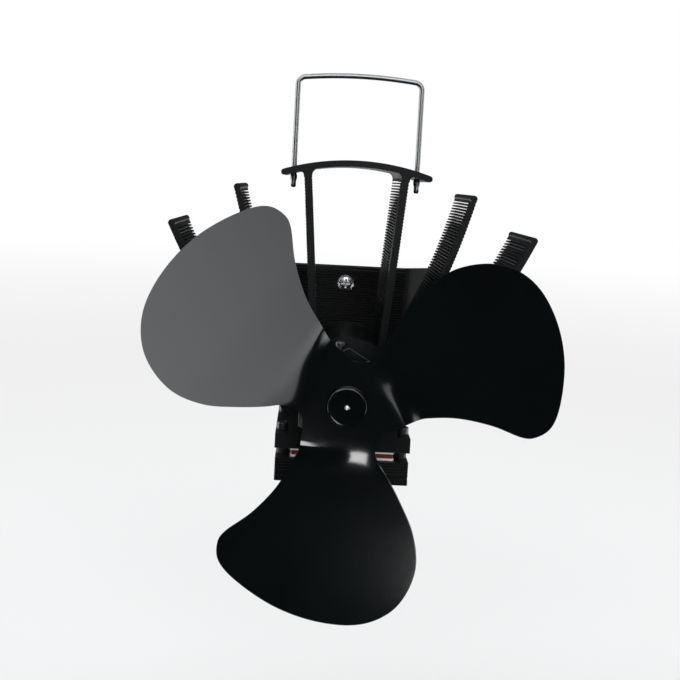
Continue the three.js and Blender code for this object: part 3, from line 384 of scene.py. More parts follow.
# Materials
NOISE_ROUGHNESS = 0.55
TONE_ENDS = (0.3, 0.7)  # of the slow noise, between the dark and the light tone
GLOSS_ENDS = (0.7, 1.3)  # of the sum of both noises, between the glossy and the dull end


def material(name, color, rough, metallic, color_spread, rough_spread, grain, bump=0.0, specular=0.5,
             blotch=60):
    """A surface with fine grain, uneven gloss and slow changes of tone."""
    mat = bpy.data.materials.new(name)
    mat.use_nodes = True
    graph = Graph(mat.node_tree)
    where = graph.add("TexCoord").outputs["Object"]

    def noise_at(scale, detail):
        place = graph.add("Mapping", {"Vector": where, "Scale": scale}).outputs["Vector"]
        inputs = {"Vector": place, "Scale": 1.0, "Detail": detail, "Roughness": NOISE_ROUGHNESS}
        return graph.add("TexNoise", inputs).outputs["Fac"]

    slow = noise_at((blotch,) * 3, 4)
    fine = noise_at(grain, 3)
    ramp = graph.add("ValToRGB", {"Fac": slow})
    for stop, position, side in zip(ramp.color_ramp.elements, TONE_ENDS, (-1, 1)):
        stop.position = position
        stop.color = (*[min(c * (1 + side * color_spread), 1) for c in color], 1)
    gloss = graph.add("MapRange", {
        "Value": graph.math("ADD", slow, fine), "From Min": GLOSS_ENDS[0], "From Max": GLOSS_ENDS[1],
        "To Min": rough - rough_spread, "To Max": rough + rough_spread})
    shader = graph.nodes["Principled BSDF"]
    for key, value in (("Metallic", metallic), ("Specular IOR Level", specular),
                       ("Base Color", ramp.outputs["Color"]), ("Roughness", gloss.outputs[0])):
        graph.feed(shader, key, value)
    if bump:
        relief = graph.add("Bump", {"Strength": 1.0, "Distance": bump, "Height": fine})
        graph.feed(shader, "Normal", relief.outputs["Normal"])
    return mat


# Name, colour, roughness, metal, spread of colour and of roughness, grain per metre, bump in metres
EVEN = (900, 900, 900)
LOOK = {
    "anodised": material("anodised_extrusion", (0.0046, 0.0052, 0.006), 0.46, 0.0, 0.3, 0.06,
                         (1300, 40, 1300), 0.004 * MM, specular=0.17),
    "anodised_bracket": material("anodised_bracket", (0.0046, 0.005, 0.0056), 0.38, 0.0, 0.3, 0.06,
                                 (40, 1300, 1300), 0.004 * MM, specular=0.2),
    "anodised_plate": material("anodised_plate", (0.0055, 0.0058, 0.0064), 0.45, 0.0, 0.3, 0.06,
                               EVEN, 0.003 * MM, specular=0.2),
    "anodised_turned": material("anodised_housing", (0.003, 0.0034, 0.0038), 0.2, 0.0, 0.25, 0.04,
                                EVEN, 0.0008 * MM),
    "satin_black": material("satin_black_blade", (0.0010, 0.0018, 0.0021), 0.13, 0.0, 0.25, 0.015,
                            EVEN, 0.0002 * MM, blotch=25),
    "hub_black": material("satin_black_hub", (0.0005, 0.0012, 0.0014), 0.1, 0.0, 0.25, 0.02,
                          EVEN, 0.0002 * MM),
    "black_screw": material("black_oxide", (0.09, 0.092, 0.098), 0.3, 0.85, 0.3, 0.06,
                            EVEN, 0.001 * MM),
    "bright_wire": material("polished_wire", (0.33, 0.335, 0.34), 0.33, 1.0, 0.05, 0.05,
                            (300, 300, 40)),
    "zinc_plate": material("zinc_plate", (0.66, 0.67, 0.68), 0.30, 1.0, 0.12, 0.09, EVEN, 0.003 * MM),
    "steel": material("ground_steel", (0.70, 0.70, 0.71), 0.20, 1.0, 0.08, 0.06,
                      (2000, 80, 2000), 0.002 * MM),
    "nickel_plate": material("nickel_plate", (0.58, 0.57, 0.54), 0.24, 1.0, 0.08, 0.06,
                             (700, 700, 700), 0.002 * MM),
    "bronze_metal": material("sintered_bronze", (0.55, 0.36, 0.16), 0.5, 1.0, 0.2, 0.1,
                             (2500, 2500, 2500), 0.01 * MM),
    "copper_wound": material("varnished_copper", (0.62, 0.27, 0.12), 0.32, 0.9, 0.25, 0.08,
                             (2500, 2500, 150), 0.02 * MM),
    "black_plastic": material("moulded_black", (0.02, 0.02, 0.022), 0.5, 0.0, 0.2, 0.08,
                              (1500, 1500, 1500), 0.006 * MM),
    "white_ceramic": material("alumina", (0.86, 0.85, 0.81), 0.55, 0.0, 0.05, 0.08,
                              (1500, 1500, 1500), 0.004 * MM, blotch=120),
    "red_silicone": material("red_silicone", (0.12, 0.003, 0.009), 0.4, 0.0, 0.3, 0.1,
                             (700, 700, 700), 0.02 * MM, blotch=200),
    "graphite": material("graphite_sheet", (0.09, 0.095, 0.10), 0.42, 0.4, 0.2, 0.1, EVEN, 0.006 * MM),
    "ferrite": material("ferrite", (0.05, 0.05, 0.053), 0.75, 0.0, 0.25, 0.08,
                        (1200, 1200, 1200), 0.01 * MM),
}
# CAD nodes whose look is not their slot's
OWN_LOOK = {"hot_bracket": "anodised_bracket", "saddle_plate": "anodised_plate", "motor_shaft": "steel"}


def paint_cad_nodes():
    for entry in frame["record"]["subparts"]:
        obj = frame["nodes"][entry["node"]]
        obj.data.materials.clear()
        obj.data.materials.append(LOOK[OWN_LOOK.get(entry["node"], entry["material_slot"])])


# Studio: bearings are an azimuth from the front towards the right and an elevation, in degrees
BACKGROUND = (1.0, 1.0, 1.0, 1)
ROOM_COLOR = (0.97, 0.985, 1.0, 1)
ROOM_DARK = 0.03
SIDE_GLOW = 4.0
WINDOW_SLOPE = ((12, -5), (-45, 33))  # two bearings on the low edge that climbs to the left
WINDOW_LEFT, WINDOW_RIGHT = -52, 33
WINDOW_SILL, WINDOW_TOP = -6.5, 50
SLOPE_SOFT, WINDOW_SOFT = 1.6, 2.5
GLOW_BASE, GLOW_BY_Z, GLOW_BY_X = 0.75, 5.7, 2.0
GLOW_LEAST, GLOW_MOST = 1.9, 3.3

# The tent's sides start and fade, and the band behind darkens, over these values of a direction
TENT_LEAN, TENT_START, TENT_FADE = -0.12, (-0.2, 0.0), (0.05, 0.3)
BAND_LEAN, BAND_EDGE, BAND_DARK = -1.5, (-0.08, 0.12), 0.06

# Floor: places in metres from its middle
FLOOR_Z = -143 * MM
FLOOR_REACH, FLOOR_SIDES = 6.0, 96
FLOOR_COLOR, FLOOR_ROUGH, FLOOR_SPECULAR = (0.86, 0.86, 0.865, 1), 0.7, 0.2
SHADOW_FADE = (0.2, 0.9, 0.7, 1.0)  # from, to, and the share of plain white there
FLOOR_WHITE = (0.3, 3.0, 0.85, 1.0)  # from, to, and the white there
BESIDE_ACROSS, BESIDE_START = (0.2, 0.35), (-0.22, -0.08)
BESIDE_LEAN, BESIDE_END = -0.25, (-0.12, 0.03)
BEHIND_START = (0.02, 0.12)

# Lamp, in metres and watts
LAMP_PLACE, LAMP_TARGET = (-0.027, -0.232, -0.092), (0.003, -0.092, -0.020)
LAMP_SIZE, LAMP_POWER = (0.034, 0.056), 0.084


def bearing(azimuth, elevation):
    a, e = math.radians(azimuth), math.radians(elevation)
    return Vector((math.sin(a) * math.cos(e), -math.cos(a) * math.cos(e), math.sin(e)))


def studio_world():
    """The white room behind the object, and in front the window that the photographed blades mirror."""
    world = bpy.data.worlds.new("studio")
    bpy.context.scene.world = world
    world.use_nodes = True
    graph = Graph(world.node_tree)
    graph.nodes.clear()
    where = graph.add("TexCoord").outputs["Generated"]
    x, y, z = graph.add("SeparateXYZ", {0: where}).outputs

    low, high = (bearing(*edge) for edge in WINDOW_SLOPE)
    window = graph.facing(where, -low.cross(high), 0, SLOPE_SOFT)
    for normal, edge in (((0, 0, 1), WINDOW_SILL), (-bearing(WINDOW_RIGHT + 90, 0), 0),
                         (bearing(WINDOW_LEFT + 90, 0), 0), ((0, 0, -1), -WINDOW_TOP)):
        window = graph.math("MULTIPLY", window, graph.facing(where, normal, edge, WINDOW_SOFT))
    rise = graph.math("MULTIPLY_ADD", z, GLOW_BY_Z, GLOW_BASE)
    glow = graph.math("MULTIPLY_ADD", x, GLOW_BY_X, rise)
    glow = graph.math("MINIMUM", graph.math("MAXIMUM", glow, GLOW_LEAST), GLOW_MOST)
    window = graph.math("MULTIPLY", window, glow)

    # The bright sides and top of the tent, seen by edges that turn away from the camera
    leaning = graph.math("MULTIPLY_ADD", x, TENT_LEAN, y)
    sides = graph.fade(leaning, *TENT_START, 0.0, SIDE_GLOW)
    tent = graph.math("SUBTRACT", sides, graph.fade(y, *TENT_FADE, 0.0, SIDE_GLOW - 1.0))

    # A dark upright band straight behind, where the photographed object has its pipe
    within = graph.math("MULTIPLY_ADD", graph.math("ABSOLUTE", x), BAND_LEAN, y)
    tent = graph.math("MULTIPLY", tent, graph.fade(within, *BAND_EDGE, 1.0, BAND_DARK))
    level = graph.math("MAXIMUM", graph.math("MAXIMUM", window, tent), ROOM_DARK)
    room = graph.add("Background", {"Color": ROOM_COLOR, "Strength": level}).outputs[0]
    shown = graph.add("Background", {"Color": BACKGROUND}).outputs[0]
    seen = graph.seen(graph.add("LightPath").outputs)
    graph.add("OutputWorld", {"Surface": graph.mix(seen, room, shown)})


def area_light(name, place, target, size, power, lit):
    """A soft lamp that no camera sees; lit holds the only pieces that it reaches, as with a flag."""
    data = bpy.data.lights.new(name, "AREA")
    data.shape = "RECTANGLE"
    data.size, data.size_y = size
    data.energy = power
    light = linked_object(name, data)
    direction = Vector(target) - Vector(place)
    turn = direction.to_track_quat("-Z", "Y").to_matrix()
    light.matrix_world = Matrix.Translation(place) @ turn.to_4x4()
    light.visible_camera = False
    reached = bpy.data.collections.new(name + "_reaches")
    for piece in lit:
        reached.objects.link(piece)
    light.light_linking.receiver_collection = reached


def make_floor():
    """A white floor that keeps the object's shadow; to reflections it shows a painted glow at the sides
    and behind, and is dark where the room is.
    """
    mat = bpy.data.materials.new("pale_floor")
    mat.use_nodes = True
    graph = Graph(mat.node_tree)
    shader = graph.nodes["Principled BSDF"]
    for key, value in (("Base Color", FLOOR_COLOR), ("Roughness", FLOOR_ROUGH),
                       ("Specular IOR Level", FLOOR_SPECULAR)):
        graph.feed(shader, key, value)
    where = graph.add("TexCoord").outputs["Object"]
    path = graph.add("LightPath").outputs
    length = graph.add("VectorMath", {0: where}, operation="LENGTH").outputs["Value"]
    x, y, _ = graph.add("SeparateXYZ", {0: where}).outputs
    white = graph.math("MULTIPLY", graph.seen(path), graph.fade(length, *SHADOW_FADE))
    strength = graph.fade(length, *FLOOR_WHITE)
    glow = graph.add("Emission", {"Color": BACKGROUND, "Strength": strength}).outputs[0]
    shown = graph.mix(white, shader.outputs[0], glow)

    # Painted reflection: glossy rays see the floor glow at the sides and behind, as bright as the tent,
    # and see the dark room in front and below
    across = graph.math("ABSOLUTE", x)
    beside = graph.math("MULTIPLY", graph.fade(across, *BESIDE_ACROSS),
                        graph.fade(y, *BESIDE_START, 0.0, SIDE_GLOW))
    leaning = graph.math("MULTIPLY_ADD", across, BESIDE_LEAN, y)
    beside = graph.math("MULTIPLY", beside, graph.fade(leaning, *BESIDE_END, 1.0, 0.0))
    bright = graph.math("MAXIMUM", beside, graph.fade(y, *BEHIND_START))
    level = graph.math("MAXIMUM", bright, ROOM_DARK)
    # An emission that only reflections see: a painted reflection, not light on the floor
    painted_reflection = graph.add("Emission", {"Strength": level}).outputs[0]
    surface = graph.mix(path["Is Glossy Ray"], shown, painted_reflection)
    graph.feed(graph.nodes["Material Output"], "Surface", surface)
    rim = [(a, b, FLOOR_Z) for a, b in circle(0, 0, FLOOR_REACH, FLOOR_SIDES)]
    wedges = [[0, 1 + i, 1 + (i + 1) % FLOOR_SIDES] for i in range(FLOOR_SIDES)]
    floor = Parts().add([(0, 0, FLOOR_Z), *rim], wedges).object("floor", mat)


# Heat sink: the same form as the CAD solid, with rounded edges and ridged arms, in millimetres
ARM_THICKNESS = 2.2
CENTRAL_THICKNESS = 3.0
COMB_PITCH = 1.15
COMB_GAP = 0.52
COMB_BAR = 5.0
COMB_TOP = 2.3
COMB_ROOT = 4.6
COMB_OVERLAP = 0.1
TOOTH_WAIST = 0.08
BODY_RADIUS = 22.0
CHEEK_HALF = 20.9
FOOT_HALF = 26.05
FOOT_TOP = -16.3
BORE_RADIUS = 15.15
PLATE_THICKNESS = 2.4
PLATE_HALF = 27.7
BEAD_RADIUS = 1.3
BEAD_RISE = 0.75
ARM_ROOT = 21.1
INNER_ARM = (33.7, (34.6, 38), (44.95, 77.5))  # degrees of its root, then its bend and its tip
FAR_ARM = (-30.6, (49, 20), (69, 62.7))
CENTRAL_ROOT, CENTRAL_TOP = 12.8, 18.6
RIDGE, FAR_RIDGE = 0.22, 0.05
RIDGE_PITCH = 1.25
FILLET, FILLET_RISE, FILLET_TUCK = 2.4, 1.3, 0.6
FILLET_IN, FILLET_FALL, FILLET_LIFT = 0.2, 0.22, 0.06
SINK_BEVEL = 0.22
SHARES = [i / 200 for i in range(201)]  # of an arm's length, where it is measured
ARM_STEP = 0.005  # share of an arm's length to either side, for its direction
CUT_CLEAR = 0.05  # between an arm's cut and the outline's next point


def central_arm(sign, root_z, top_z):
    def centre(share):
        x = CENTRAL_ROOT + (CENTRAL_TOP - CENTRAL_ROOT) * share
        return Vector((sign * x, root_z + (top_z - root_z) * share))
    return centre


def side_arm(sign, arm):
    degrees, bend, tip = arm
    root = (ARM_ROOT * math.cos(math.radians(degrees)), ARM_ROOT * math.sin(math.radians(degrees)))

    def centre(share):
        p = bezier((*root, 0), (*bend, 0), (*tip, 0), share)
        return Vector((sign * p.x, p.y))
    return centre


def arm_run(centre, share, step=ARM_STEP):
    """The direction along an arm at a share of its length."""
    return (centre(min(share + step, 1)) - centre(max(share - step, 0))).normalized()


def arm_outline(centre, thickness, ridge):
    """The outline of an arm along centre(share), with fine ridges on both sides."""
    stops = SHARES[::5]
    length = sum((centre(b) - centre(a)).length for a, b in zip(stops, stops[1:]))
    steps = 2 * max(int(length / RIDGE_PITCH), 4)
    near, far = [], []
    for i in range(steps + 1):
        share = i / steps
        t = arm_run(centre, share, 2 * ARM_STEP)
        n = Vector((-t.y, t.x))
        cut = ridge if i % 2 and 0 < i < steps else 0
        near.append(centre(share) - n * (thickness / 2 - cut))
        far.append(centre(share) + n * (thickness / 2 - cut))
    return [tuple(v * MM) for v in near + far[::-1]]


def crossing(centre, thickness, level):
    """Where an arm's two sides pass a level: the lowest and highest X."""
    xs = []
    for side in (-1, 1):
        best = None
        for share in SHARES:
            t = arm_run(centre, share)
            q = centre(share) + Vector((-t.y, t.x)) * side * thickness / 2
            if best is None or abs(q.y - level) < abs(best.y - level):
                best = q
        xs.append(best.x)
    return min(xs), max(xs)


def comb_teeth(parts, centre, thickness, floor, ceiling, front):
    """Teeth from the arm's front bar to the back, with ridged sides; returns the level above them."""
    level = math.ceil(floor / COMB_PITCH)
    while (level + 1) * COMB_PITCH < ceiling:
        low = level * COMB_PITCH + COMB_GAP
        high = (level + 1) * COMB_PITCH
        (a0, b0), (a1, b1) = crossing(centre, thickness, low), crossing(centre, thickness, high)
        middle = (low + high) / 2
        outline = [(a0 + TOOTH_WAIST, low), (b0 - TOOTH_WAIST, low), ((b0 + b1) / 2, middle),
                   (b1 - TOOTH_WAIST, high), (a1 + TOOTH_WAIST, high), ((a0 + a1) / 2, middle)]
        parts.prism(in_metres(outline), front, SINK_BACK, along_y)
        level += 1
    return level * COMB_PITCH + COMB_GAP


def solid_end(centre, thickness, level, side):
    """The outline of an arm's solid root below a level, side -1, or solid end above it, side 1."""
    right, left = [], []
    for share in SHARES[::4]:
        t = arm_run(centre, share)
        n = Vector((-t.y, t.x)) * thickness / 2
        for edge, p in ((right, centre(share) - n), (left, centre(share) + n)):
            if (p.y - level) * side > CUT_CLEAR:
                edge.append(p)
    low_x, high_x = crossing(centre, thickness, level)
    cut = [Vector((high_x, level)), Vector((low_x, level))]
    outline = [cut[0], *right, *left[::-1], cut[1]] if side > 0 else [*right, *cut, *left[::-1]]
    return [tuple(v * MM) for v in outline]


def make_heat_sink():
    solids = []
    teeth = Parts()
    outer_r = PLATE_RADIUS / MM
    inner_r = outer_r - PLATE_THICKNESS
    root_z = math.sqrt(BODY_RADIUS ** 2 - CENTRAL_ROOT ** 2) - CENTRAL_THICKNESS / 2
    top_z = math.sqrt(inner_r ** 2 - CENTRAL_TOP ** 2) + PLATE_THICKNESS / 2
    bar_back = SINK_FRONT + COMB_BAR * MM
    comb_front = bar_back - COMB_OVERLAP * MM

    def extrude(outline, front=SINK_FRONT, back=SINK_BACK, holes=()):
        return Parts().prism(outline, front, back, along_y, holes)

    # An arm is its centre line, thickness, ceiling of the comb, side of its bead and ridges
    arms = []
    for sign in (1, -1):
        arms += [(central_arm(sign, root_z, top_z), CENTRAL_THICKNESS,
                  top_z - PLATE_THICKNESS / 2 - COMB_TOP, 0, RIDGE),
                 (side_arm(sign, INNER_ARM), ARM_THICKNESS, INNER_ARM[2][1] - COMB_TOP, sign, RIDGE),
                 (side_arm(sign, FAR_ARM), ARM_THICKNESS, FAR_ARM[2][1] - COMB_TOP, sign, FAR_RIDGE)]
    for centre, thickness, ceiling, bead, ridge in arms:
        solids.append(extrude(arm_outline(centre, thickness, ridge), back=bar_back))
        floor = BODY_RADIUS + COMB_ROOT
        if bead:
            samples = [centre(share) for share in SHARES]
            floor = next(p.y for p in samples if p.length > BODY_RADIUS + COMB_ROOT)
        top = comb_teeth(teeth, centre, thickness, floor, ceiling, comb_front)
        lowest = math.ceil(floor / COMB_PITCH) * COMB_PITCH
        for level, side in ((lowest, -1), (top, 1)):
            solids.append(extrude(solid_end(centre, thickness, level, side), front=comb_front))
        if bead:
            t = arm_run(centre, 1, 2 * ARM_STEP)
            outer = Vector((t.y, -t.x)) * bead
            c = centre(1) + outer * (thickness / 2 - BEAD_RADIUS) + t * (BEAD_RISE - BEAD_RADIUS)
            solids.append(extrude(in_metres(circle(c.x, c.y, BEAD_RADIUS, 32))))

    # Body ring, foot and cheeks in one outline
    bottom = FOOT_BOTTOM / MM
    cheek = math.degrees(math.asin(-math.sqrt(BODY_RADIUS ** 2 - CHEEK_HALF ** 2) / BODY_RADIUS))
    outline = [(-FOOT_HALF, bottom), (FOOT_HALF, bottom), (FOOT_HALF, FOOT_TOP), (CHEEK_HALF, FOOT_TOP)]
    outline += arc(0, 0, BODY_RADIUS, cheek, 180 - cheek, 80)
    outline += [(-CHEEK_HALF, FOOT_TOP), (-FOOT_HALF, FOOT_TOP)]
    solids.insert(0, extrude(in_metres(outline), holes=[in_metres(circle(0, 0, BORE_RADIUS, 72))]))

    # Top plate with rounded ends
    half = math.degrees(math.asin(PLATE_HALF / outer_r))
    middle_r = (outer_r + inner_r) / 2

    def plate_end(degrees, start, end):
        a = math.radians(degrees)
        return arc(middle_r * math.cos(a), middle_r * math.sin(a), PLATE_THICKNESS / 2,
                   degrees + start, degrees + end, 8)

    plate = arc(0, 0, outer_r, 90 - half, 90 + half, 48) + plate_end(90 + half, 20, 160)
    plate += arc(0, 0, inner_r, 90 + half, 90 - half, 48) + plate_end(90 - half, 200, 340)
    solids.append(extrude(in_metres(plate)))

    # Fillets between the central arms and the plate
    for sign in (1, -1):
        for side in (1, -1):
            x = CENTRAL_TOP - FILLET_IN + side * CENTRAL_THICKNESS / 2
            z = math.sqrt(inner_r ** 2 - x ** 2)
            tip = (x + side * FILLET, z - side * FILLET * FILLET_FALL + FILLET_LIFT)
            points = [(x - side * FILLET_TUCK, z + FILLET_RISE), (x - side * FILLET_TUCK, z - FILLET)]
            points += [bezier((x, z - FILLET), (x, z), tip, i / 6) for i in range(7)]
            points += [(tip[0], z + FILLET_RISE)]
            solids.append(extrude([(sign * px * MM, pz * MM) for px, pz in points]))
    obj = fuse("heat_sink_dressed", solids, LOOK["anodised"], SINK_BEVEL * MM,
               smooth_angle=40, loose=teeth)
    dress(obj, "heat_sink", "base")


# Fan sheet, in millimetres: a blade's edge is (degrees from its axis, share of the blade's radius)
BLADE_RADIUS = 81.4
BLADE_AXIS = 23.6
BLADE_SLOPE = 0.2635
BLADE_HOLLOW = 2.3
BEND_START, BEND_LEAN, BEND_SPREAD, BEND_END = 13.0, 3.8, 9, 26.0
ROOT_LIFT, LIFT_START, LIFT_END = 0.9, BEND_END - 4, 50.0
SHEET = 1.0
SHEET_ROUND = 0.28
HUB_DISC = 2.0  # the hub's thickness in front of the sheet
HUB_HOLE, HOLE_SIDES = 4.15, 64
SHEET_MERGE = 0.002
STATIONS, COLUMNS = 72, 36
BLADE_EDGE = [
    (-59.2, 0.203), (-48.2, 0.241), (-38.8, 0.283), (-32.6, 0.374), (-29.6, 0.51), (-30.7, 0.679),
    (-33.1, 0.837), (-32.7, 0.882), (-29.7, 0.946), (-25, 0.976), (-10.3, 1.006), (3, 1.011),
    (14, 0.99), (23.2, 0.92), (31.8, 0.785), (36.6, 0.637), (38.3, 0.482), (38.6, 0.365),
    (38, 0.284), (44.4, 0.22), (60.8, 0.203),
]


def blade_height(reach, across):
    """How far a blade lies behind the hub's plane, at a reach along its axis and across it."""
    start = BEND_START - BEND_LEAN * math.tanh(across / BEND_SPREAD)
    ramp = smoothstep(reach, start, BEND_END)
    hollow = BLADE_HOLLOW * (1 - (2 * across / BLADE_RADIUS) ** 2)
    hollow += ROOT_LIFT * (1 - smoothstep(reach, LIFT_START, LIFT_END))
    return ramp * (hollow - BLADE_SLOPE * across)


def side_at(side, reach):
    for a, b in zip(side, side[1:]):
        if a.x <= reach <= b.x and b.x > a.x:
            return a.y + (b.y - a.y) * (reach - a.x) / (b.x - a.x)
    return side[0].y if reach < side[0].x else side[-1].y


def make_fan_sheet():
    """A thin sheet with a rounded rim: a hub disc and three blades that twist out of it."""
    plane = BOSS[0].y / MM + HUB_DISC + SHEET / 2
    edge = []
    for degrees, share in BLADE_EDGE:
        a, r = math.radians(degrees), share * BLADE_RADIUS
        edge.append(Vector((r * math.cos(a), r * math.sin(a))))
    curve = catmull(edge, per_span=14)
    tip = max(range(len(curve)), key=lambda i: curve[i].x)
    trailing, leading = curve[:tip + 1], curve[tip:][::-1]
    root, top = trailing[0].x, trailing[-1].x
    skin, faces, hub_loop = [], [], []
    for blade in range(3):
        turn = Matrix.Rotation(-math.radians(BLADE_AXIS + 120 * blade), 3, "Y")

        def lift(reach, across, turn=turn):
            return turn @ Vector((reach, plane + blade_height(reach, across), across))

        rows = []
        for i in range(STATIONS):
            reach = root + (top - root) * math.sin(math.pi / 2 * i / STATIONS)
            low, high = side_at(trailing, reach), side_at(leading, reach)
            rows.append(range(len(skin), len(skin) + COLUMNS + 1))
            skin += [lift(reach, low + (high - low) * j / COLUMNS) for j in range(COLUMNS + 1)]
        for near, far in zip(rows, rows[1:]):
            faces += [[near[j], far[j], far[j + 1], near[j + 1]] for j in range(COLUMNS)]
        end = len(skin)
        skin.append(lift(top, trailing[-1].y))
        faces += [[rows[-1][j], end, rows[-1][j + 1]] for j in range(COLUMNS)]
        hub_loop += rows[0]
    hole = list(range(len(skin), len(skin) + HOLE_SIDES))
    skin += [Vector((x, plane, z)) for x, z in circle(0, 0, HUB_HOLE, HOLE_SIDES)]
    flat = [[Vector((skin[i].x, skin[i].z, 0)) for i in loop] for loop in (hub_loop, hole)]
    order = hub_loop + hole
    faces += [[order[i] for i in tri] for tri in tessellate_polygon(flat)]

    bm = bmesh.new()
    verts = [bm.verts.new(p * MM) for p in skin]
    for face in faces:
        bm.faces.new([verts[i] for i in face])
    bmesh.ops.remove_doubles(bm, verts=bm.verts, dist=SHEET_MERGE * MM)
    bmesh.ops.recalc_face_normals(bm, faces=bm.faces)
    if sum(f.normal.y * f.calc_area() for f in bm.faces) > 0:
        bmesh.ops.reverse_faces(bm, faces=bm.faces)
    mesh = bpy.data.meshes.new("fan_sheet")
    bm.to_mesh(mesh)
    bm.free()
    obj = linked_object("fan_sheet", mesh)
    mesh.materials.append(LOOK["satin_black"])
    thick = obj.modifiers.new("thickness", "SOLIDIFY")
    thick.thickness = SHEET * MM
    thick.offset = 0
    add_bevel(obj, SHEET_ROUND * MM, segments=3, angle=50)
    apply_modifiers(obj)
    return dress(shade(obj, 60), "fan_blades", "fan")


# Turned pieces: profiles are (radius, level) pairs in millimetres
def turned(name, profile, look, place=along_y, sides=96, smooth_angle=35):
    parts = Parts().lathe(in_metres(profile), place, sides)
    return parts.object(name, LOOK[look], smooth_angle=smooth_angle)


def make_hub_boss():
    front, back = BOSS[0].y / MM, BOSS[1].y / MM
    disc, sheet = front + HUB_DISC, front + HUB_DISC + SHEET
    bore, face, rounding, seat, neck = 1.04, 6.45, 0.8, 4.0, 4.6
    profile = [(bore, front + 0.12), (1.2, front), (1.4, front), (6.2, front), (face, front)]
    profile += arc(face, front + rounding, rounding, -81, 0, 9)
    profile += [(face + rounding, disc - 0.05), (7.2, disc), (seat, disc), (seat, sheet), (neck, sheet),
                (neck, back - 0.3), (neck - 0.3, back), (bore, back), (bore, front + 0.12)]
    return dress(turned("hub_boss_turned", profile, "hub_black"), "hub_boss", "fan")


def make_shaft():
    front, back = SHAFT[0].y / MM, SHAFT[1].y / MM
    profile = [(0, front), (0.45, front + 0.05), (0.75, front + 0.2), (0.93, front + 0.45),
               (1.0, front + 0.8), (1.0, back), (0, back)]
    obj = turned("motor_shaft_turned", profile, "steel", sides=48, smooth_angle=50)
    return dress(obj, "motor_shaft", "fan")


def make_housing():
    """A hexagonal block in front of the heat sink, and behind it a ring round the motor."""
    front, back = HOUSING[0].y / MM, HOUSING[1].y / MM
    corner = HOUSING[1].z / MM
    sink_front = SINK_FRONT / MM
    nose_hole, bore, ring, overlap = 3.75, 12.35, 15.0, 0.2
    hexagon = [(corner * math.sin(TAU * i / 6), corner * math.cos(TAU * i / 6)) for i in range(6)]
    parts = Parts()
    parts.prism(in_metres(hexagon), front * MM, sink_front * MM, along_y,
                holes=[in_metres(circle(0, 0, nose_hole, 48))])
    start = sink_front - overlap
    profile = [(bore, start), (ring, start), (ring, back - 0.4), (ring - 0.4, back),
               (bore + 0.25, back), (bore, back - 0.25), (bore, start)]
    parts.lathe(in_metres(profile), along_y, 96)
    obj = parts.object("motor_housing_dressed", LOOK["anodised_turned"], bevel=0.45 * MM,
                       bevel_segments=4, smooth_angle=50)
    return dress(obj, "motor_housing", "base")


# Bracket, in millimetres
WALL_THICKNESS = 6.0
SHELF_THICKNESS = 9.1
RIDGE_DEPTH, RIDGE_STEP, RIDGE_LAND = 0.5, 1.15, 0.575
RIDGE_EDGE, RIDGE_FOOT = 0.12, 0.25
BRACKET_FILLET, SHELF_CHAMFER = 4, 0.5
SHELF_RIDGES = 4
GROOVE_LAND, GROOVE_DEPTH, GROOVE_HEIGHT = 0.9, 0.9, 1.3


def make_bracket():
    y_front, y_back = BRACKET[0].y / MM, BRACKET[1].y / MM
    z_low, z_high = BRACKET[0].z / MM, BRACKET[1].z / MM
    half = BRACKET[1].x
    wall = y_back - WALL_THICKNESS
    inner = wall + RIDGE_DEPTH
    shelf_top = z_low + SHELF_THICKNESS

    # The wall's ridges from the top down, with softened edges
    pts = [(y_back, z_low), (y_back, z_high), (inner, z_high)]
    level = z_high - RIDGE_STEP
    while level - RIDGE_STEP > shelf_top + BRACKET_FILLET:
        bottom = level - RIDGE_LAND
        pts += [(inner, level), (wall + RIDGE_EDGE, level - RIDGE_EDGE), (wall, level - RIDGE_FOOT)]
        pts += [(wall, bottom + RIDGE_FOOT), (wall + RIDGE_EDGE, bottom + RIDGE_EDGE), (inner, bottom)]
        level -= RIDGE_STEP
    pts += [bezier((inner, shelf_top + BRACKET_FILLET), (inner, shelf_top),
                   (inner - BRACKET_FILLET, shelf_top), i / 8) for i in range(9)]

    # The shelf's front: fine ridges over one deep groove
    pts.append((y_front, shelf_top))
    front = shelf_top
    for _ in range(SHELF_RIDGES):
        pts += [(y_front, front - RIDGE_LAND), (y_front + RIDGE_DEPTH, front - RIDGE_LAND)]
        front -= RIDGE_STEP
        pts += [(y_front + RIDGE_DEPTH, front), (y_front, front)]
    front -= GROOVE_LAND
    pts += [(y_front, front), (y_front + GROOVE_DEPTH, front)]
    front -= GROOVE_HEIGHT
    pts += [(y_front + GROOVE_DEPTH, front), (y_front, front)]
    pts += [(y_front, z_low + SHELF_CHAMFER), (y_front + SHELF_CHAMFER, z_low)]
    parts = Parts().prism(in_metres(pts), -half, half, along_x)
    obj = parts.object("hot_bracket_dressed", LOOK["anodised_bracket"], bevel=0.1 * MM)
    dress(obj, "hot_bracket", "base")


# Screws, magnets and leads, in millimetres
HEAD_ROUND = 0.5
SOCKET_DEPTH, SOCKET_REACH = 0.5, 0.6  # shares of a head's height: its floor, and just below that
PIPE_RADIUS = 65.0
WING = math.radians(33)
MAGNET_THICKNESS = 4.7
MAGNET_RADIUS, MAGNET_BORE, MAGNET_SINK, MAGNET_RIM = 8.76, 1.65, 3.15, 0.4
RIM_STEPS = (0.39, 0.79, 1.18)  # radians round a magnet's rim
LEAD_RADIUS, LEAD_TURN = 0.7, 4.0
LEAD_START, LEAD_END = 8.0, 6.0  # to the side, at the module and at the motor
LEAD_OFF, LEAD_BEHIND, LEAD_TIP = 0.3, 3, 0.02  # off the module, behind the heat sink, at the motor


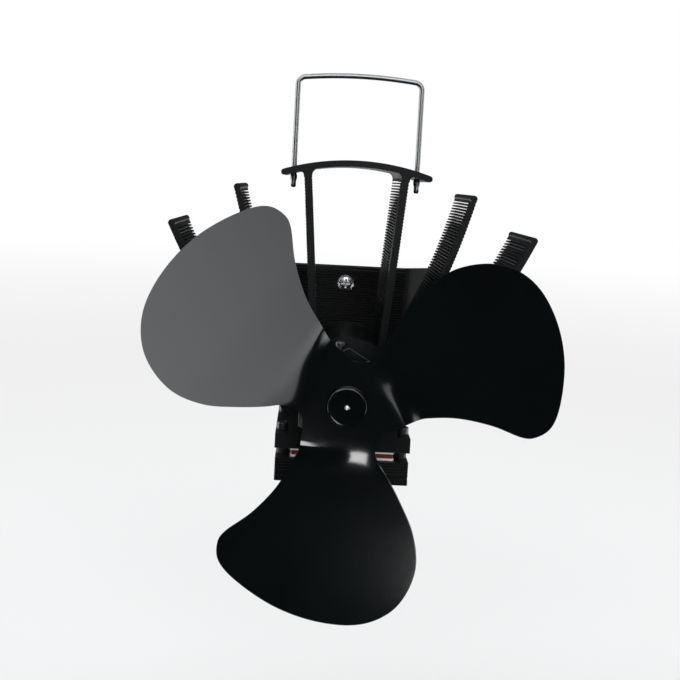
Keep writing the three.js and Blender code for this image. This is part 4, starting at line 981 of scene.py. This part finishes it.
def make_cap_screw(node, shank, head, height, socket):
    """A screw that stands upright, its head with a hexagon socket on top."""
    low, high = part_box(node)
    x, y = (low.x + high.x) / 2, (low.y + high.y) / 2
    end, top = low.z / MM, high.z / MM
    seat, floor = top - height, top - height * SOCKET_DEPTH
    profile = [(0, end), (shank - 0.25, end), (shank, end + 0.3), (shank, seat), (head - 0.12, seat),
               (head, seat + 0.12)]
    profile += arc(head - HEAD_ROUND, top - HEAD_ROUND, HEAD_ROUND, 0, 90, 6)
    profile += [(socket + 0.1, top), (socket, top - 0.1), (socket, floor), (0, floor)]

    def place(a, b, level):
        """Draws the round wall of the socket to a hexagon."""
        reach = math.hypot(a, b) / MM
        if abs(reach - socket) < 0.02 and level > (top - height * SOCKET_REACH) * MM:
            turn = math.atan2(b, a) % (math.pi / 3) - math.pi / 6
            share = math.cos(math.pi / 6) / math.cos(turn)
            a, b = a * share, b * share
        return Vector((a + x, b + y, level))

    obj = turned(node + "_turned", profile, "black_screw", place, 48)
    dress(obj, node, "base")


def make_magnet(node, sign):
    """A countersunk disc that faces the pipe's axis."""
    level = (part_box(node)[0].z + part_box(node)[1].z) / 2 / MM
    outer, inner = -PIPE_RADIUS - MAGNET_THICKNESS, -PIPE_RADIUS
    rim, edge, bore = MAGNET_RIM, MAGNET_RADIUS - MAGNET_RIM, MAGNET_BORE
    profile = [(bore, outer), (edge, outer)]
    profile += [(edge + rim * math.sin(a), outer + rim * (1 - math.cos(a))) for a in RIM_STEPS]
    profile += [(MAGNET_RADIUS, outer + rim), (MAGNET_RADIUS, inner - rim)]
    profile += [(edge + rim * math.cos(a), inner - rim * (1 - math.sin(a))) for a in RIM_STEPS]
    profile += [(edge, inner), (MAGNET_SINK + rim, inner), (bore, inner - MAGNET_SINK - rim + bore),
                (bore, outer)]
    turn = Matrix.Rotation(sign * WING, 3, "Z")
    middle = Vector((0, PIPE_RADIUS, level))

    def place(a, b, t):
        return (turn @ Vector((a, t, b)) + middle) * MM

    parts = Parts().lathe(profile, place, 96)
    obj = parts.object(node + "_disc", LOOK["nickel_plate"], smooth_angle=35)
    dress(obj, node, "base")


def make_lead(node, side, look):
    """An insulated wire from the module's edge, up behind the heat sink, to the motor's terminal."""
    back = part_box("module_cold_plate")[1].y / MM + LEAD_OFF
    gap = (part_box("module_cold_plate")[1].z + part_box("module_hot_plate")[0].z) / 2 / MM
    rise = SINK_BACK / MM + LEAD_BEHIND
    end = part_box(node)[0].y / MM + LEAD_TIP
    x, terminal, turn = side * LEAD_START, side * LEAD_END, LEAD_TURN
    inset = turn * (1 - math.sqrt(0.5))
    route = [(x, back, gap), (x, (back + rise) / 2, gap), (x, rise - turn, gap),
             (x, rise - inset, gap + inset), (x, rise, gap + turn), (x, rise, -turn - inset),
             (x, rise - inset, -inset), (x, rise - turn, 0), ((x + terminal) / 2, (end + rise) / 2, 0),
             (terminal, end + turn, 0), (terminal, end, 0)]
    line = catmull([Vector(p) * MM for p in route], per_span=8)
    parts = Parts().tube(line, LEAD_RADIUS * MM, sides=20)
    dress(parts.object(node + "_wire", LOOK[look], smooth_angle=60), node, "base")


# Bail, in millimetres
BAIL_HALF = 24.0
BAIL_RADIUS = 1.0
BAIL_TOP, BAIL_BOW, BAIL_CORNER = 120.5, 1.2, 3.0
CRIMP_LEVEL, CRIMP_HALF, CRIMP_WIDE, CRIMP_THIN = 81.9, 1.6, 0.42, 0.35


def make_bail():
    """A bent wire, flattened at its two crimps."""
    y = (BAIL[0].y + BAIL[1].y) / 2 / MM
    bottom = BAIL[0].z / MM
    shoulder = BAIL_TOP - BAIL_CORNER
    reach = BAIL_HALF - BAIL_CORNER
    points = [(BAIL_HALF, bottom + (shoulder - bottom) * i / 40) for i in range(41)]
    points += arc(reach, shoulder, BAIL_CORNER, 0, 90, 8)[1:]
    for i in range(1, 13):
        share = 1 - i / 12
        points.append((reach * share, BAIL_TOP + BAIL_BOW * (1 - share ** 2)))
    points += [(-x, z) for x, z in points[:-1][::-1]]

    def flat(i):
        near = smoothstep(1 - abs(points[i][1] - CRIMP_LEVEL) / CRIMP_HALF, 0, 1)
        return 1 + CRIMP_WIDE * near, 1 - CRIMP_THIN * near

    parts = Parts().tube([(x * MM, y * MM, z * MM) for x, z in points], BAIL_RADIUS * MM, 24, flat)
    obj = parts.object("bail_wire", LOOK["bright_wire"], smooth_angle=60)
    dress(obj, "bail_handle", "handle")


make_camera()
studio_world()
make_floor()
paint_cad_nodes()
make_heat_sink()
mirrors = (make_fan_sheet(), make_hub_boss(), make_shaft(), make_housing())
area_light("low_front_light", LAMP_PLACE, LAMP_TARGET, LAMP_SIZE, LAMP_POWER, mirrors)
make_bracket()
for place in ("front_left", "front_right", "rear_left", "rear_right"):
    make_cap_screw("clamp_screw_" + place, shank=1.25, head=2.3, height=2.5, socket=1.1)
make_cap_screw("motor_set_screw", shank=1.0, head=1.9, height=1.8, socket=0.8)
for place in ("upper", "lower"):
    make_magnet(f"saddle_magnet_{place}_left", -1)
    make_magnet(f"saddle_magnet_{place}_right", 1)
make_lead("lead_red", 1, "red_silicone")
make_lead("lead_black", -1, "black_plastic")
make_bail()

bpy.context.scene.view_settings.view_transform = "Standard"
